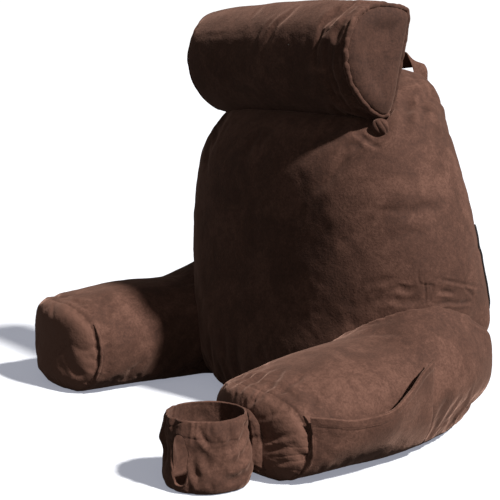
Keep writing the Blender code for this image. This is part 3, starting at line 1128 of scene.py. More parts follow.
@dataclass
class Arm(FilledPiece):
    """A filled arm with its sewn-in front end."""

    side: Side = Side.RIGHT
    rise: float = 0.0
    toe_out: float = 0.0
    # painted highlight on the end panel, which the light reaches only at a slant
    panel_tone: float = 0.44
    panel_tone_edge: tuple[float, float] = (-0.003, 0.001)  # where the painted highlight on the end panel ends, from the seam
    seam_hold: tuple[float, float] = (0.004, 0.012)  # distances between which the seam lets go
    welt_size: float = 0.0046
    welt_proud: float = 0.40
    welt_gap: float = 0.085  # it starts this far beside the arm's middle
    welt_foot: float = 0.004
    even_reach: float = 0.009
    even_rounds: int = 14
    crevice: float = 0.0011  # depth of the dark line beside the seam
    crevice_place: float = 0.0030
    crevice_width: float = 0.0016
    crevice_fade: float = 0.85
    crevice_top: tuple[float, float] = (0.078, 0.096)  # heights between which it fades
    puff: float = 0.0030
    puff_reach: float = 0.060
    voxel: float = 0.0045
    front_puckers: Puckers = Puckers(0.012, 0.0007, 0.026, 11)
    body_puckers: Puckers = Puckers(0.019, 0.0007, 0.026, 17)

    def seam(self) -> Points:
        """The front end's seam."""
        return ARM_FORM.seam(self.side, self.rise, self.toe_out)

    def held(self, points: Points) -> Points:
        """How firmly each point is held: on the floor and along the front seam."""
        firm = super().held(points)
        near = near_path(points, self.seam()[::6], closed=True)
        return np.maximum(firm, 1 - step_up(near.distance, *self.seam_hold))

    def sew(self) -> None:
        """Adds the seam's groove and welt, its puckers and the arm's folds."""
        seam = self.seam()
        points = coords(self.piece)
        near = near_path(points, seam[::2], closed=True)
        share = hump(near.distance, self.even_reach) * step_up(points[:, 2], 0.002, 0.010)
        soft = evened(points, edges_of(self.piece), self.even_rounds)
        set_coords(self.piece, points + (soft - points) * share[:, None])
        points = coords(self.piece)
        near = near_path(points, seam[::2], closed=True)
        in_front = points[:, 1] < self.seam_y(points)
        lift = self.front_puckers.lift(points, seam[::3]) * in_front
        lift += self.body_puckers.lift(points, seam[::3]) * ~in_front
        low_side = 1 - self.crevice_fade * step_up(points[:, 2] - self.rise, *self.crevice_top)
        groove = hump(near.distance - self.crevice_place, self.crevice_width)
        lift -= self.crevice * low_side * in_front * groove
        puff = self.puff * np.sin(math.pi * np.clip(near.distance / self.puff_reach, 0, 1)) * in_front
        self.shape(lift + puff * step_up(points[:, 2], 0.0, 0.02))
        self.fold()
        self.lay_welt(seam)

    def nap(self, points: Points) -> Points:
        """Painted highlight: the end panel, which the key light only grazes, is painted paler."""
        return self.panel_tone * (1 - step_up(points[:, 1] - self.seam_y(points), *self.panel_tone_edge))

    def seam_y(self, points: Points) -> Points:
        """The y of the front seam level with each point, which parts the end panel from the arm's body."""
        x = points[:, 0] * self.side.value
        middle, _, half_width, _, _ = ARM_FORM.section(0.0, self.rise, self.toe_out)
        across = np.clip((x - middle[0]) / half_width, -1, 1)
        return middle[1] + ARM_FORM.sweep * across**2 - 0.001

    def lay_welt(self, seam: Points) -> None:
        """Sews the welt along the front seam into the cover's mesh."""
        tree = tree_of(self.piece)
        middle = ARM_FORM.section(0.0, self.rise, self.toe_out)[0][0] * self.side.value
        welts = []
        for hand in (1, -1):
            half = seam[(seam[:, 2] > self.welt_foot) & ((seam[:, 0] - middle) * hand > self.welt_gap)]
            half = half[np.argsort(half[:, 2] - 0.6 * np.abs(half[:, 0] - middle))]
            welt = Welt(self.welt_size, self.welt_size, seed=self.seed + 5 + hand)
            welts.append(welt.laid(half, False, tree, self.welt_proud))
        join_into(self.piece, welts)


# each end's welt width, welt height and depth of the groove that the welt lies in
ROLL_SEAMS = {Side.RIGHT: (0.0072, 0.0060, 0.0022), Side.LEFT: (0.0030, 0.0018, 0.0002)}


@dataclass
class NeckRoll(FilledPiece):
    """The half-moon roll with its two sewn-in end panels."""

    outline: tuple[Row, ...] = (
        # forward of its middle, above it
        (-0.052, 0.062),
        (-0.036, 0.072),
        (0.000, 0.074),
        (0.030, 0.064),
        (0.049, 0.040),
        (0.056, 0.008),
        (0.050, -0.022),
        (0.033, -0.048),
        (0.008, -0.068),
        (-0.014, -0.074),
        (-0.026, -0.062),
        (-0.036, -0.020),
        (-0.046, 0.024),
    )
    half_length: float = 0.186
    middle_y: float = -0.064
    middle_z: float = 0.490
    seam_proud: float = 1.01  # size of the end seams, of the outline
    seam_hold: tuple[float, float] = (0.003, 0.012)  # distances between which the seams let go
    end_puckers: Puckers = Puckers(0.010, 0.0008, 0.014, 31)
    body_puckers: Puckers = Puckers(0.012, 0.0012, 0.020, 37)
    groove_width: float = 0.0032
    puff: float = 0.0035
    puff_reach: float = 0.034
    full_end: float = 0.0075  # how much fuller it is low down at its far end
    full_span: tuple[float, float] = (0.02, 0.16)
    smooth_span: tuple[float, float] = (0.030, 0.100)  # where it grows smooth towards its far end
    soft_span: tuple[float, float] = (0.120, 0.172)  # where the far end's edge grows soft
    soft_rounds: int = 40
    soft_gain: float = 0.0030
    # how much darker the end panels are than the roll's body
    panel_tone: float = -0.16
    top_tone: float = 1.8  # how much deeper the end panels are at the top, of panel_tone
    top_span: tuple[float, float] = (-0.01, 0.06)

    def seam(self, side: Side) -> Points:
        """The seam round one end panel."""
        ring = smooth_path(self.outline, 260, closed=True) * self.seam_proud
        x = np.full(len(ring), side.value * self.half_length)
        out = unit(np.column_stack([np.zeros(len(ring)), -ring[:, 0], ring[:, 1]]))
        seam = np.column_stack([x, self.middle_y - ring[:, 0], self.middle_z + ring[:, 1]])
        return seam + out * self.fuller(x, out)[:, None]

    def fuller(self, x: Points, out: Points) -> Points:
        """How much fuller the roll is low down at its far end, by x and the way out of the cloth."""
        low_front = np.clip(-0.75 * out[:, 2] - 0.45 * out[:, 1], 0, 1)
        return self.full_end * low_front * step_up(-x, *self.full_span)

    def nap(self, points: Points) -> Points:
        """The end panels are darker, and darker still towards their top."""
        end = step_up(np.abs(points[:, 0]), self.half_length - 0.001, self.half_length + 0.002)
        low, high = self.top_span
        top = step_up(points[:, 2], self.middle_z + low, self.middle_z + high)
        return self.panel_tone * end * (1 + self.top_tone * top)

    def calm(self, points: Points) -> Points:
        """Where the cover lies smooth: towards its far end."""
        return step_up(-points[:, 0], *self.smooth_span)

    def held(self, points: Points) -> Points:
        """How firmly each point is held: along both end seams."""
        return 1 - step_up(np.abs(np.abs(points[:, 0]) - self.half_length), *self.seam_hold)

    def sew(self) -> None:
        """Adds the end seams with their welts and puckers, and the roll's folds."""
        points = coords(self.piece)
        share = step_up(-points[:, 0], *self.soft_span)[:, None]
        soft = evened(points, edges_of(self.piece), self.soft_rounds) - (self.soft_gain, 0, 0)
        set_coords(self.piece, points + (soft - points) * share)
        points, out = coords(self.piece), normals(self.piece)
        self.shape(self.fuller(points[:, 0], out))
        for side in Side:
            seam = self.seam(side)[::3]
            points = coords(self.piece)
            end = points[:, 0] * side.value > self.half_length - 0.001
            lift = np.zeros(len(points))
            if side is Side.RIGHT:
                lift += self.end_puckers.lift(points, seam) * end
                lift += self.body_puckers.lift(points, seam) * ~end
            near = near_path(points, seam, closed=True)
            lift += self.puff * end * np.sin(math.pi * np.clip(near.distance / self.puff_reach, 0, 1))
            self.shape(lift - ROLL_SEAMS[side][2] * hump(near.distance, self.groove_width))
        self.fold()
        tree = tree_of(self.piece)
        welts = []
        for side in Side:
            width, height, _ = ROLL_SEAMS[side]
            welts.append(Welt(width, height, seed=41 + side.value).laid(self.seam(side), True, tree))
        join_into(self.piece, welts)


# ---------------------------------------------------------------- sewn sheets
@dataclass
class SidePocket:
    """The cloth pocket on the outer side of the arm at +X, with its turned and stitched hem."""

    node: str = "side_pocket"
    thick: float = 0.0028
    hem: float = 0.0014  # how much thicker the turned hem is
    off: float = 0.0008  # how far the cloth stays off the arm
    foot: float = 0.016
    widest: float = 0.062  # height at which the arm is widest
    edge: tuple[Row, ...] = (
        # y of the arm's middle line, height, how far it stands out
        (-0.284, 0.087, 0.0005),
        (-0.262, 0.083, 0.011),
        (-0.230, 0.081, 0.020),
        (-0.192, 0.087, 0.022),
        (-0.163, 0.101, 0.016),
        (-0.134, 0.118, 0.006),
        (-0.105, 0.130, 0.0000),
    )
    ripple: tuple[float, float] = (0.0009, 23.0)  # height of the edge's waves, and their run in radians
    columns: int = 150
    rows: int = 64
    crowding: float = 1.25  # above 1 the rows stand closer towards the edge
    hem_depth: float = 0.010
    lip: float = 0.0012
    stitch: tuple[float, float] = (0.0007, 0.0012)  # depth and width of the hem's stitch line
    stitch_up: float = 0.001  # how far inside the hem it runs
    front_sewn: tuple[float, float] = (-0.01, 0.055)  # shares of the length where it leaves its front seam
    rear_sewn: tuple[float, float] = (0.95, 1.0)  # and where it meets the rear one
    sewn_flat: float = 0.92  # how flat it is there
    seam_share: float = 0.12  # share of the length that is drawn to the arm's front seam
    belly_rise: float = 1.15  # above 1 it stands out fully below its edge
    belly_power: float = 1.4
    free_from: float = 0.006  # where it stands out so far, its inner face has the hem too
    laid_to: float = 0.13  # share of the length that lies on the arm's cover
    laid_gap: tuple[float, float] = (-0.001, 0.008)
    laid_heights: Row = (-0.008, -0.004, 0.0, 0.004, 0.008)  # over which the cover's place is evened
    wrinkles: tuple[tuple[float, Row, int], ...] = (
        # height, spacing and seed
        (0.0011, (0.05, 0.034, 0.014), 61),
        (0.0005, (0.05, 0.012, 0.010), 62),
    )
    foot_folds: tuple[float, float] = (0.0011, 0.009)  # height and spacing
    foot_reach: float = 0.022
    front_folds: tuple[float, float] = (0.0014, 0.011)
    front_slant: float = 0.4
    front_reach: tuple[float, float] = (-0.285, -0.250)  # the y between which they fade
    smooth_front: tuple[float, float] = (-0.286, -0.272)  # the y between which all wrinkles start
    smooth_rear: tuple[float, float] = (0.092, 0.104)  # and the -y between which they end
    deepest: float = -0.0006  # no wrinkle lies deeper, so none reaches the arm
    # rounds over which the painted shade and highlight of the pocket's folds take the surroundings
    brushed: int = 14
    flat: tuple[float, float] = (0.205, 0.098)

    def gap(self, place: Points, out: Points, height: float, on: BVHTree) -> float:
        """How far the arm's cover stands out from a place at a height.

        Args:
            place: the place, of which only x and y are taken.
            out: the way out of the arm there.
            height: the height.
            on: search tree of the arm's cover.

        Returns:
            The distance.
        """
        start = np.array((place[0], place[1], height))
        cover = np.array(on.find_nearest(Vector(start))[0])
        return float((cover - start) @ out)

    def point(self, along: float, up: float, face: int, on: BVHTree) -> Points:
        """A point of the pocket's cloth.

        Args:
            along: share of the pocket's length, from the front.
            up: share of its height.
            face: 0 inside, 1 outside.
            on: search tree of the arm's cover.

        Returns:
            The point.
        """
        y, top, stand = catmull(self.edge, along)
        stand = max(stand, 0.0)
        top += self.ripple[0] * math.sin(self.ripple[1] * along) * math.sin(math.pi * along)
        height = self.foot + (top - self.foot) * up
        from_top = top - height
        to_seam = ARM_FORM.seam_at(height) + self.off - self.edge[0][0]
        y += to_seam * max(0.0, 1 - along / self.seam_share) ** 2
        sewn = step(along, *self.front_sewn) * (1 - self.sewn_flat * step(along, *self.rear_sewn))
        place, out = ARM_FORM.outer_side(y, min(height, self.widest))
        belly = stand * math.sin(0.5 * math.pi * min(up * self.belly_rise, 1.0)) ** self.belly_power
        free = min(belly / self.free_from, 1.0)
        turned = self.hem if from_top < self.hem_depth else 0.0
        depth, width = self.stitch
        turned -= depth * math.exp(-(((from_top - self.hem_depth + self.stitch_up) / width) ** 2))
        laid = 1 - step(along, self.laid_to / 3, self.laid_to)
        if laid > 0:
            gaps = [self.gap(place, out, height + shift, on) for shift in self.laid_heights]
            place = place + out * float(np.clip(np.mean(gaps), *self.laid_gap)) * laid
        distance = self.off * sewn + belly
        distance += (self.thick + turned) * sewn if face else -max(turned, 0.0) * free
        place = place + out * distance
        place[2] = height
        return place

    def build(self, on: BVHTree) -> bpy.types.Object:
        """Lofts the pocket, folds it and sews it to the arm.

        Args:
            on: search tree of the arm's cover.

        Returns:
            The pocket.
        """
        ups = [1 - (1 - row / self.rows) ** self.crowding for row in range(self.rows + 1)]
        rings = []
        for column in range(self.columns + 1):
            along = column / self.columns
            outer = [self.point(along, up, 1, on) for up in ups]
            lip = (outer[-1] + self.point(along, 1.0, 0, on)) / 2 + np.array([0, 0, self.lip])
            inner = [self.point(along, up, 0, on) for up in reversed(ups)]
            rings.append(outer + [lip] + inner)
        piece = closed_loft("pocket_cloth", np.array(rings))
        points = coords(piece)
        wrinkle = layered(points, self.wrinkles)
        height, spacing = self.foot_folds
        near_foot = 1 - step_up(points[:, 2], self.foot, self.foot + self.foot_reach)
        wrinkle += height * near_foot * wavy(points[:, 1], spacing, 63)
        height, spacing = self.front_folds
        near_front = 1 - step_up(points[:, 1], *self.front_reach)
        wrinkle += height * near_front * wavy(points[:, 2] + self.front_slant * points[:, 1], spacing, 64)
        loose = step_up(points[:, 1], *self.smooth_front) * step_up(-points[:, 1], *self.smooth_rear)
        points[:, 0] += np.maximum(wrinkle * loose, self.deepest)
        set_coords(piece, points)
        paint_shade_and_tone(piece, rounds=self.brushed)
        dress(piece, self.node, PLUSH)
        return piece


SLEEVE_RADIUS = 0.051
SLEEVE_FLAT = 0.0485  # how far behind its middle its flat back lies


@dataclass
class CupHolder:
    """The cloth sleeve with its elastic rim and the open slot for a handle."""

    node: str = "cup_holder"
    radius: float = SLEEVE_RADIUS
    wall: float = 0.003
    middle: Row = (0.253, -0.3758, 0.0)
    flat_back: float = SLEEVE_FLAT
    slot_turn: float = math.radians(20)
    slot_width: float = 0.024
    slot_low: float = 0.011
    slot_high: float = 0.072
    profile: tuple[Row, ...] = (
        # share of the radius, height
        (0.880, 0.0004),
        (0.965, 0.0035),
        (1.010, 0.0120),
        (1.025, 0.0300),
        (1.005, 0.0500),
        (1.015, 0.0620),
        (1.006, 0.0710),
        (0.982, 0.0770),
        (0.962, 0.0820),
        (0.936, 0.0862),
    )
    creases: tuple[tuple, ...] = (
        # (turn, height) along it; width, depth and kind
        (((46, 0.082), (52, 0.072), (61, 0.061), (64, 0.052)), 0.0042, 0.0036, FoldKind.TUCK),
        (((44, 0.060), (52, 0.052), (58, 0.040), (56, 0.030)), 0.0060, 0.0026, FoldKind.CREASE),
        (((86, 0.078), (92, 0.066), (90, 0.052), (96, 0.040)), 0.0056, 0.0032, FoldKind.CREASE),
        (((134, 0.076), (120, 0.068), (108, 0.056), (102, 0.040)), 0.0060, 0.0046, FoldKind.TUCK),
        (((134, 0.054), (118, 0.046), (102, 0.037), (84, 0.034)), 0.0062, 0.0048, FoldKind.TUCK),
        (((132, 0.032), (116, 0.024), (100, 0.018), (80, 0.020)), 0.0056, 0.0042, FoldKind.TUCK),
        (((38, 0.060), (40, 0.042), (44, 0.022), (50, 0.010)), 0.0052, 0.0034, FoldKind.TUCK),
        (((-6, 0.070), (-14, 0.052), (-12, 0.030)), 0.0054, 0.0036, FoldKind.TUCK),
        (((-34, 0.066), (-46, 0.044), (-40, 0.020)), 0.0054, 0.0036, FoldKind.TUCK),
        (((-78, 0.070), (-66, 0.046), (-76, 0.018)), 0.0054, 0.0034, FoldKind.TUCK),
        (((-118, 0.068), (-106, 0.044), (-112, 0.016)), 0.0054, 0.0030, FoldKind.CREASE),
    )
    points_round: int = 280
    levels: int = 72
    base_gap: float = 0.0004
    rim_rise: float = 0.0012
    # the elastic's gathers: depth, reach, how low they start and how far that wanders
    gather: float = 0.0022
    gather_reach: float = 0.016
    gather_start: float = 0.056
    gather_sway: float = 0.009
    # the gathers at the base: depth, and the heights between which they fade
    base_gather: float = 0.0013
    base_reach: tuple[float, float] = (0.006, 0.030)
    # the wall's soft crumples: height, spacing in radii, and seed
    crumples: tuple[tuple[float, Row, int], ...] = (
        (0.0032, (0.44, 0.44, 0.40), 73),
        (0.0008, (0.2, 0.2, 0.16), 74),
    )
    crumple_mean: float = 0.0006
    crumple_foot: tuple[float, float] = (0.002, 0.014)
    # the fine creases: depth, spacing in radii, seed and which way they bend
    crease_lines: tuple[tuple[float, Row, int, int], ...] = (
        (0.0015, (0.62, 0.62, 0.80), 77, 1),
        (0.0008, (0.50, 0.50, 0.36), 78, -1),
    )
    crease_bend: float = 0.12
    crease_width: float = 0.12
    # how much of the gathers and of the crumples shows inside
    inner_gather: float = 0.3
    inner_crumple: float = 0.35
    # the slot's bound edge, how far outside the slot it lies and how far it stands off the wall
    bound: Welt = Welt(0.0026, 0.0030, seed=51)
    bound_out: float = 0.0010
    bound_proud: float = -0.05
    flat: tuple[float, float] = (0.36, 0.105)

    def build(self) -> bpy.types.Object:
        """Lofts the sleeve, cuts its slot and binds the slot's edge."""
        angles = np.array(turns(self.points_round))
        outside, inside = [], []
        for level in range(self.levels + 1):
            share, height = catmull(self.profile, level / self.levels)
            outside.append(self.ring(angles, share, height, 0.0))
            inside.append(self.ring(angles, share, max(height, self.wall), self.wall))
        rim = (outside[-1] + inside[-1]) / 2 + np.array([0, 0, self.rim_rise])
        rings = np.array(outside + [rim] + inside[::-1][: self.levels])
        middle = np.array(self.middle)
        base, floor = (middle + [0, 0, height] for height in (self.base_gap, self.wall))
        piece = loft("cup_sleeve", rings, start=base, end=floor)
        cutter = self.slot_cutter()
        cut = piece.modifiers.new("Slot", "BOOLEAN")
        cut.operation = "DIFFERENCE"
        cut.solver = "EXACT"
        cut.object = cutter
        apply_modifiers(piece)
        points = coords(piece)
        away = unit((points - middle) * (1, 1, 0))
        lift = sum(crease.lift(points, away) for crease in self.folds())
        set_coords(piece, points + away * lift[:, None])
        edge = self.slot_edge(self.bound_out, 90)
        join_into(piece, [self.bound.laid(edge, True, tree_of(piece), self.bound_proud)])
        bpy.data.objects.remove(cutter)
        paint_shade_and_tone(piece, rounds=5, strength=110)
        dress(piece, self.node, PLUSH)
        return piece

    def ring(self, angles: Points, share: float, height: float, inset: float) -> Points:
        """One level of the sleeve: a round with a flat back, its crumples and the elastic's gathers.

        Args:
            angles: the angle of each point.
            share: share of the radius there.
            height: height above the floor.
            inset: how far inside the outer face.

        Returns:
            The ring's points.
        """
        arc = angles * self.radius
        length = 2 * math.pi * self.radius
        start = self.gather_start + self.gather_sway * wavy(arc, 0.013, 79, length)
        gather = self.gather * step_up(height - start, 0.0, self.gather_reach)
        gather *= self.inner_gather if inset else 1.0
        low = self.base_gather * (1 - step(height, *self.base_reach))
        waves = 0.75 - np.abs(wavy(arc, 0.0105, 71, length)) ** 0.7
        waves -= 0.5 * np.abs(wavy(arc, 0.0062, 72, length)) ** 0.7
        at = np.column_stack([np.cos(angles), np.sin(angles), np.full(len(angles), height / self.radius)])
        crumple = layered(at, self.crumples)
        bend = self.crease_bend * SoftNoise(76, (0.5, 0.5, 0.5)).at(at)[:, None]
        for depth, spacing, seed, way in self.crease_lines:
            lines = SoftNoise(seed, spacing).at(at + way * bend)
            crumple -= depth * hump(lines, self.crease_width)
        crumple = (crumple + self.crumple_mean) * step(height, *self.crumple_foot)
        crumple *= self.inner_crumple if inset else 1.0
        radius = self.radius * share - inset + gather * waves + low * wavy(arc, 0.007, 75, length) + crumple
        across = np.minimum(radius * np.sin(angles), self.flat_back - inset)
        ring = np.column_stack([radius * np.cos(angles), across, np.full(len(angles), height)])
        return ring + np.array(self.middle)

    def folds(self) -> list[Fold]:
        """The sleeve's creases, from their places round it (degrees from straight ahead) and heights."""
        laid = []
        for places, width, depth, kind in self.creases:
            line = []
            for turn, height in places:
                x, y = self.radius * math.sin(math.radians(turn)), self.radius * math.cos(math.radians(turn))
                line.append((self.middle[0] + x, self.middle[1] - y, height))
            laid.append(Fold(tuple(line), width, depth, kind))
        return laid

    def slot_edge(self, outset: float, count: int) -> Points:
        """The slot's outline on the sleeve's wall, a little outside it and uneven as sewn cloth is."""
        way = np.array([math.sin(self.slot_turn), -math.cos(self.slot_turn), 0.0])
        sideways = np.array([way[1], -way[0], 0.0])
        edge = []
        for angle in turns(count):
            side, rise = rounded(angle, 2.6)
            uneven = 0.0006 * math.sin(3 * angle + 0.6) + 0.0004 * math.sin(7 * angle)
            wide = side * (self.slot_width / 2 + outset + uneven)
            tall = rise * ((self.slot_high - self.slot_low) / 2 + outset)
            reach = math.sqrt(max(self.radius**2 - wide**2, 0.0))
            z = (self.slot_low + self.slot_high) / 2 + tall
            edge.append(np.array(self.middle) + way * reach + sideways * wide + np.array([0, 0, z]))
        return np.array(edge)

    def slot_cutter(self) -> bpy.types.Object:
        """The prism that opens the slot."""
        way = np.array([math.sin(self.slot_turn), -math.cos(self.slot_turn), 0.0])
        edge = self.slot_edge(0.0, 48)
        flat = edge - np.outer((edge - np.array(self.middle)) @ way, way)
        rings = np.array([flat + way * reach for reach in (0.6 * self.radius, 1.3 * self.radius)])
        return closed_loft("slot_cutter", rings)


@dataclass
class CupPanel:
    """The puckered panel by which the sleeve is sewn to the crown of the arm's front end."""

    node: str = "cup_back_panel"
    middle_x: float = 0.253
    rear: float = -0.3233
    thick: float = 0.0028
    half_width: float = 0.0345
    flare: float = 0.007
    top_roundness: float = 3.0
    low: float = 0.005
    high: float = 0.085
    foot: float = 0.0025  # nothing of it lies lower
    under: float = 0.0003  # how far its rear lies off the cover
    outline_points: int = 240
    spacing: float = 0.0013  # of the outline's points
    flange: float = 0.0085  # how far its gathered edge stands out
    # the waves of its outline: share of the size, spacing and seed
    edge_waves: tuple[tuple[float, float, int], ...] = ((0.016, 0.011, 81), (0.010, 0.023, 82))
    pucker_spacing: float = 0.0075
    pucker_height: float = 0.0010
    welt: tuple[float, float, float] = (0.0012, 0.93, 0.035)  # height, place and width
    crease: tuple[float, float] = (0.0012, 0.18)  # depth and width
    # shares of its size between which the cloth thins out, puckers, swells and sinks again
    thin_out: tuple[float, float] = (0.955, 1.02)
    pucker_from: tuple[float, float] = (0.45, 0.92)
    swell_from: tuple[float, float] = (0.35, 0.72)
    sink_from: tuple[float, float] = (0.74, 1.0)
    gather_sway: float = 0.35
    room: float = 0.9  # share of the space in front of the sleeve that the gathers may fill
    flat: tuple[float, float] = (0.082, 0.080)

    def build(self, on: BVHTree) -> bpy.types.Object:
        """Lofts the panel over the arm's front end, from its middle to its edge and back.

        Args:
            on: search tree of the arm's cover.

        Returns:
            The panel.
        """
        shares = np.array([*np.linspace(0.04, 0.95, 44), 0.97, 0.985, 1.0])
        run = np.arange(self.outline_points) * self.spacing
        length = self.outline_points * self.spacing
        rings = []
        for face, series in ((0, shares), (1, shares[::-1])):
            for share in series:
                rings.append(self.ring(share, face, run, length, on))
        piece = closed_loft("cup_panel_cloth", np.array(rings))
        paint_shade_and_tone(piece, rounds=6)
        dress(piece, self.node, PLUSH)
        return piece

    def ring(self, share: float, face: int, run: Points, length: float, on: BVHTree) -> Points:
        """One outline of the panel at a share of its size, on its front (0) or rear (1) face."""
        edge_wave = sum(part * wavy(run, spacing, seed, length) for part, spacing, seed in self.edge_waves)
        pucker = wavy(run, self.pucker_spacing, 83, length)
        ring = []
        for k, angle in enumerate(turns(self.outline_points)):
            side, rise = rounded(angle, self.top_roundness if angle < math.pi else 5.0)
            wide = self.half_width + self.flare * (1 - rise) / 2
            size = share * (1 + edge_wave[k] * share)
            x = self.middle_x + side * wide * size
            z = max((self.low + self.high) / 2 + rise * size * (self.high - self.low) / 2, self.foot)
            hit = on.ray_cast(Vector((x, -0.5, z)), Vector((0, 1, 0)))[0]
            rear = max(hit.y if hit else self.rear, self.rear - 0.001) - self.under
            ring.append((x, rear, z))
        ring = np.array(ring)
        if face:
            return ring
        height, place, width = self.welt
        welt = height * math.exp(-(((share - place) / width) ** 2))
        proud = self.thick * (1 - step(share, *self.thin_out))
        puckered = self.pucker_height * step(share, *self.pucker_from) * pucker
        depth, width = self.crease
        puckered -= depth * hump(SoftNoise(84, (0.016, 0.03, 0.020)).at(ring), width)
        beside = np.abs(ring[:, 0] - self.middle_x)
        sleeve = np.sqrt(np.clip(SLEEVE_RADIUS**2 - beside**2, 0, None)).clip(None, SLEEVE_FLAT)
        swell = step(share, *self.swell_from) * (1 - step(share, *self.sink_from))
        gathered = self.flange * swell * (1 + self.gather_sway * pucker)
        gathered = np.minimum(gathered, self.room * (SLEEVE_FLAT - sleeve))
        ring[:, 1] -= gathered + proud + welt + puckered * (proud / self.thick)
        return ring


@dataclass
class CarryStrap:
    """The self-fabric strap over the backrest's top rear edge, which stands on edge at its top."""

    node: str = "carry_strap"
    width: float = 0.026
    thick: float = 0.003
    middle_y: float = 0.090
    path: tuple[Row, ...] = (
        # x, z and turn about its own run, on one side
        (0.0970, 0.436, 0.0),
        (0.0970, 0.462, 0.0),
        (0.0945, 0.476, 0.0),
        (0.0860, 0.487, 14.0),
        (0.0680, 0.4905, 62.0),
        (0.0420, 0.4895, 76.0),
        (0.0000, 0.4885, 80.0),
    )
    levels: int = 260
    points_across: int = 27
    stitch: tuple[float, float, float] = (0.80, 0.05, 0.0005)  # place, width and depth of both stitch lines
    stitches: float = 2200.0  # radians of the stitches' waves to a metre
    edge_power: int = 10
    sway: tuple[float, float] = (0.0008, 0.02)  # how far it wanders, and over what length
    tilt: tuple[float, float] = (0.0005, 0.012)  # how far its edges tilt, and over what length
    flat: tuple[float, float] = (0.026, 0.29)

    def build(self) -> bpy.types.Object:
        """Lofts the strap along its arch."""
        path = smooth_path([(-x, z, turn) for x, z, turn in self.path] + list(self.path[-2::-1]), self.levels)
        ways = unit(np.gradient(path[:, :2], axis=0))
        outs = np.column_stack([-ways[:, 1], ways[:, 0]])
        rings = [self.section(*row) for row in zip(path, outs, run_along(path[:, :2]))]
        piece = closed_loft("strap_cloth", np.array(rings))
        paint_shade_and_tone(piece, rounds=4, strength=180)
        dress(piece, self.node, PLUSH)
        return piece

    def section(self, place: Points, out: Points, run: float) -> Points:
        """The strap's outline across its width at one place of its path.

        Args:
            place: x, z and turn of its middle.
            out: x and z of the way out of its upper face.
            run: distance along the strap.

        Returns:
            The outline's points.
        """
        turn = math.radians(place[2])
        up = np.array([out[0], 0.0, out[1]])
        rear = np.array([0.0, 1.0, 0.0])
        across = -math.cos(turn) * rear + math.sin(turn) * up
        face = math.sin(turn) * rear + math.cos(turn) * up
        middle = np.array([place[0], self.middle_y, place[1]])
        shares = np.linspace(-1, 1, self.points_across)
        place, width, depth = self.stitch
        dip = depth * hump(np.abs(shares) - place, width)
        dip *= 0.6 + 0.4 * math.sin(run * self.stitches)
        half = self.thick / 2 * np.sqrt(np.clip(1 - np.abs(shares) ** self.edge_power, 0, 1)) - dip
        at = np.array([run])
        sway = self.sway[0] * wavy(at, self.sway[1], 91)[0]
        sway = sway + self.tilt[0] * shares * wavy(at, self.tilt[1], 92)[0]
        rises = np.concatenate([sway + half, (sway - half)[::-1]])
        wides = np.concatenate([shares, shares[::-1]]) * self.width / 2
        return middle + np.outer(wides, across) + np.outer(rises, face)


@dataclass
class RollTab:
    """The small gathered knot of cloth at the neck roll's lower corner."""

    node: str = "roll_tab"
    middle: Row = (0.186, -0.060, 0.4045)
    size: Row = (0.0125, 0.0105, 0.0115)
    gathers: int = 7
    depth: float = 0.16  # of the gathers, as a share of the size
    twist: float = 0.7  # how far they turn from top to bottom, in half turns
    levels: int = 40
    points_round: int = 112

    def build(self) -> bpy.types.Object:
        """Turns the knot, with gathers that twist from top to bottom."""
        rings = []
        for level in range(1, self.levels):
            turn = math.pi * level / self.levels
            ring = []
            for angle in turns(self.points_round):
                twist = angle + self.twist * turn
                pinch = 1 - self.depth * (1 - abs(math.sin(self.gathers * twist / 2)) ** 0.5)
                wide = math.sin(turn) ** 0.8 * pinch * (1 + 0.08 * math.sin(3 * angle + 1))
                ring.append((wide * math.cos(angle), wide * math.sin(angle), -math.cos(turn)))
            rings.append(np.array(ring) * self.size + self.middle)
        low = np.array(self.middle) - [0, 0, self.size[2]]
        high = np.array(self.middle) + [0, 0, self.size[2]]
        piece = loft("tab_cloth", np.array(rings), start=low, end=high)
        paint_shade_and_tone(piece, rounds=5, strength=200)
        dress(piece, self.node, PLUSH)
        return piece


@dataclass
class ZipStrip:
    """The near-black zip tape down the backrest's rear corner, with its closed coil."""

    node: str = "zip_strip"
    width: float = 0.011
    thick: float = 0.0022
    sunk: float = 0.0006
    coil: float = 0.0007  # how far the closed coil stands up
    coil_width: float = 0.22  # as a share of half the width
    margin: float = 0.001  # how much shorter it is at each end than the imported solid
    levels: int = 90
    end_taper: float = 7.0
    flat: tuple[float, float] = (0.011, 0.128)

    def build(self, on: BVHTree) -> bpy.types.Object:
        """Lays the tape on the cover's surface and the coil along its middle.

        Args:
            on: search tree of the backrest's cover.

        Returns:
            The tape with its coil.
        """
        packed = coords(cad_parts[self.node])
        low, high = packed[:, 2].min(), packed[:, 2].max()
        bend = np.polyfit(packed[:, 2], packed[:, :2], 2)
        heights = np.linspace(low + self.margin, high - self.margin, self.levels)
        line = np.column_stack([np.polyval(bend[:, 0], heights), np.polyval(bend[:, 1], heights), heights])
        places, outs, across = laid_on(line, on, (8, 12))
        across = unit(across)
        ends = np.sin(math.pi * np.linspace(0.004, 0.996, self.levels)) * self.end_taper
        ends = np.sqrt(np.clip(ends, 0, 1))
        rings = []
        for place, out, side, end in zip(places, outs, across, ends):
            ring = []
            for angle in turns(28):
                wide, tall = rounded(angle, 4.0)
                coil = self.coil * math.exp(-((wide / self.coil_width) ** 2)) if tall > 0 else 0.0
                level = self.thick / 2 - self.sunk + (tall * self.thick / 2 + coil) * end
                ring.append(place + side * (wide * self.width / 2 * (0.4 + 0.6 * end)) + out * level)
            rings.append(ring)
        piece = closed_loft("zip_tape", np.array(rings))
        dress(piece, self.node, ZipFinish())
        return piece


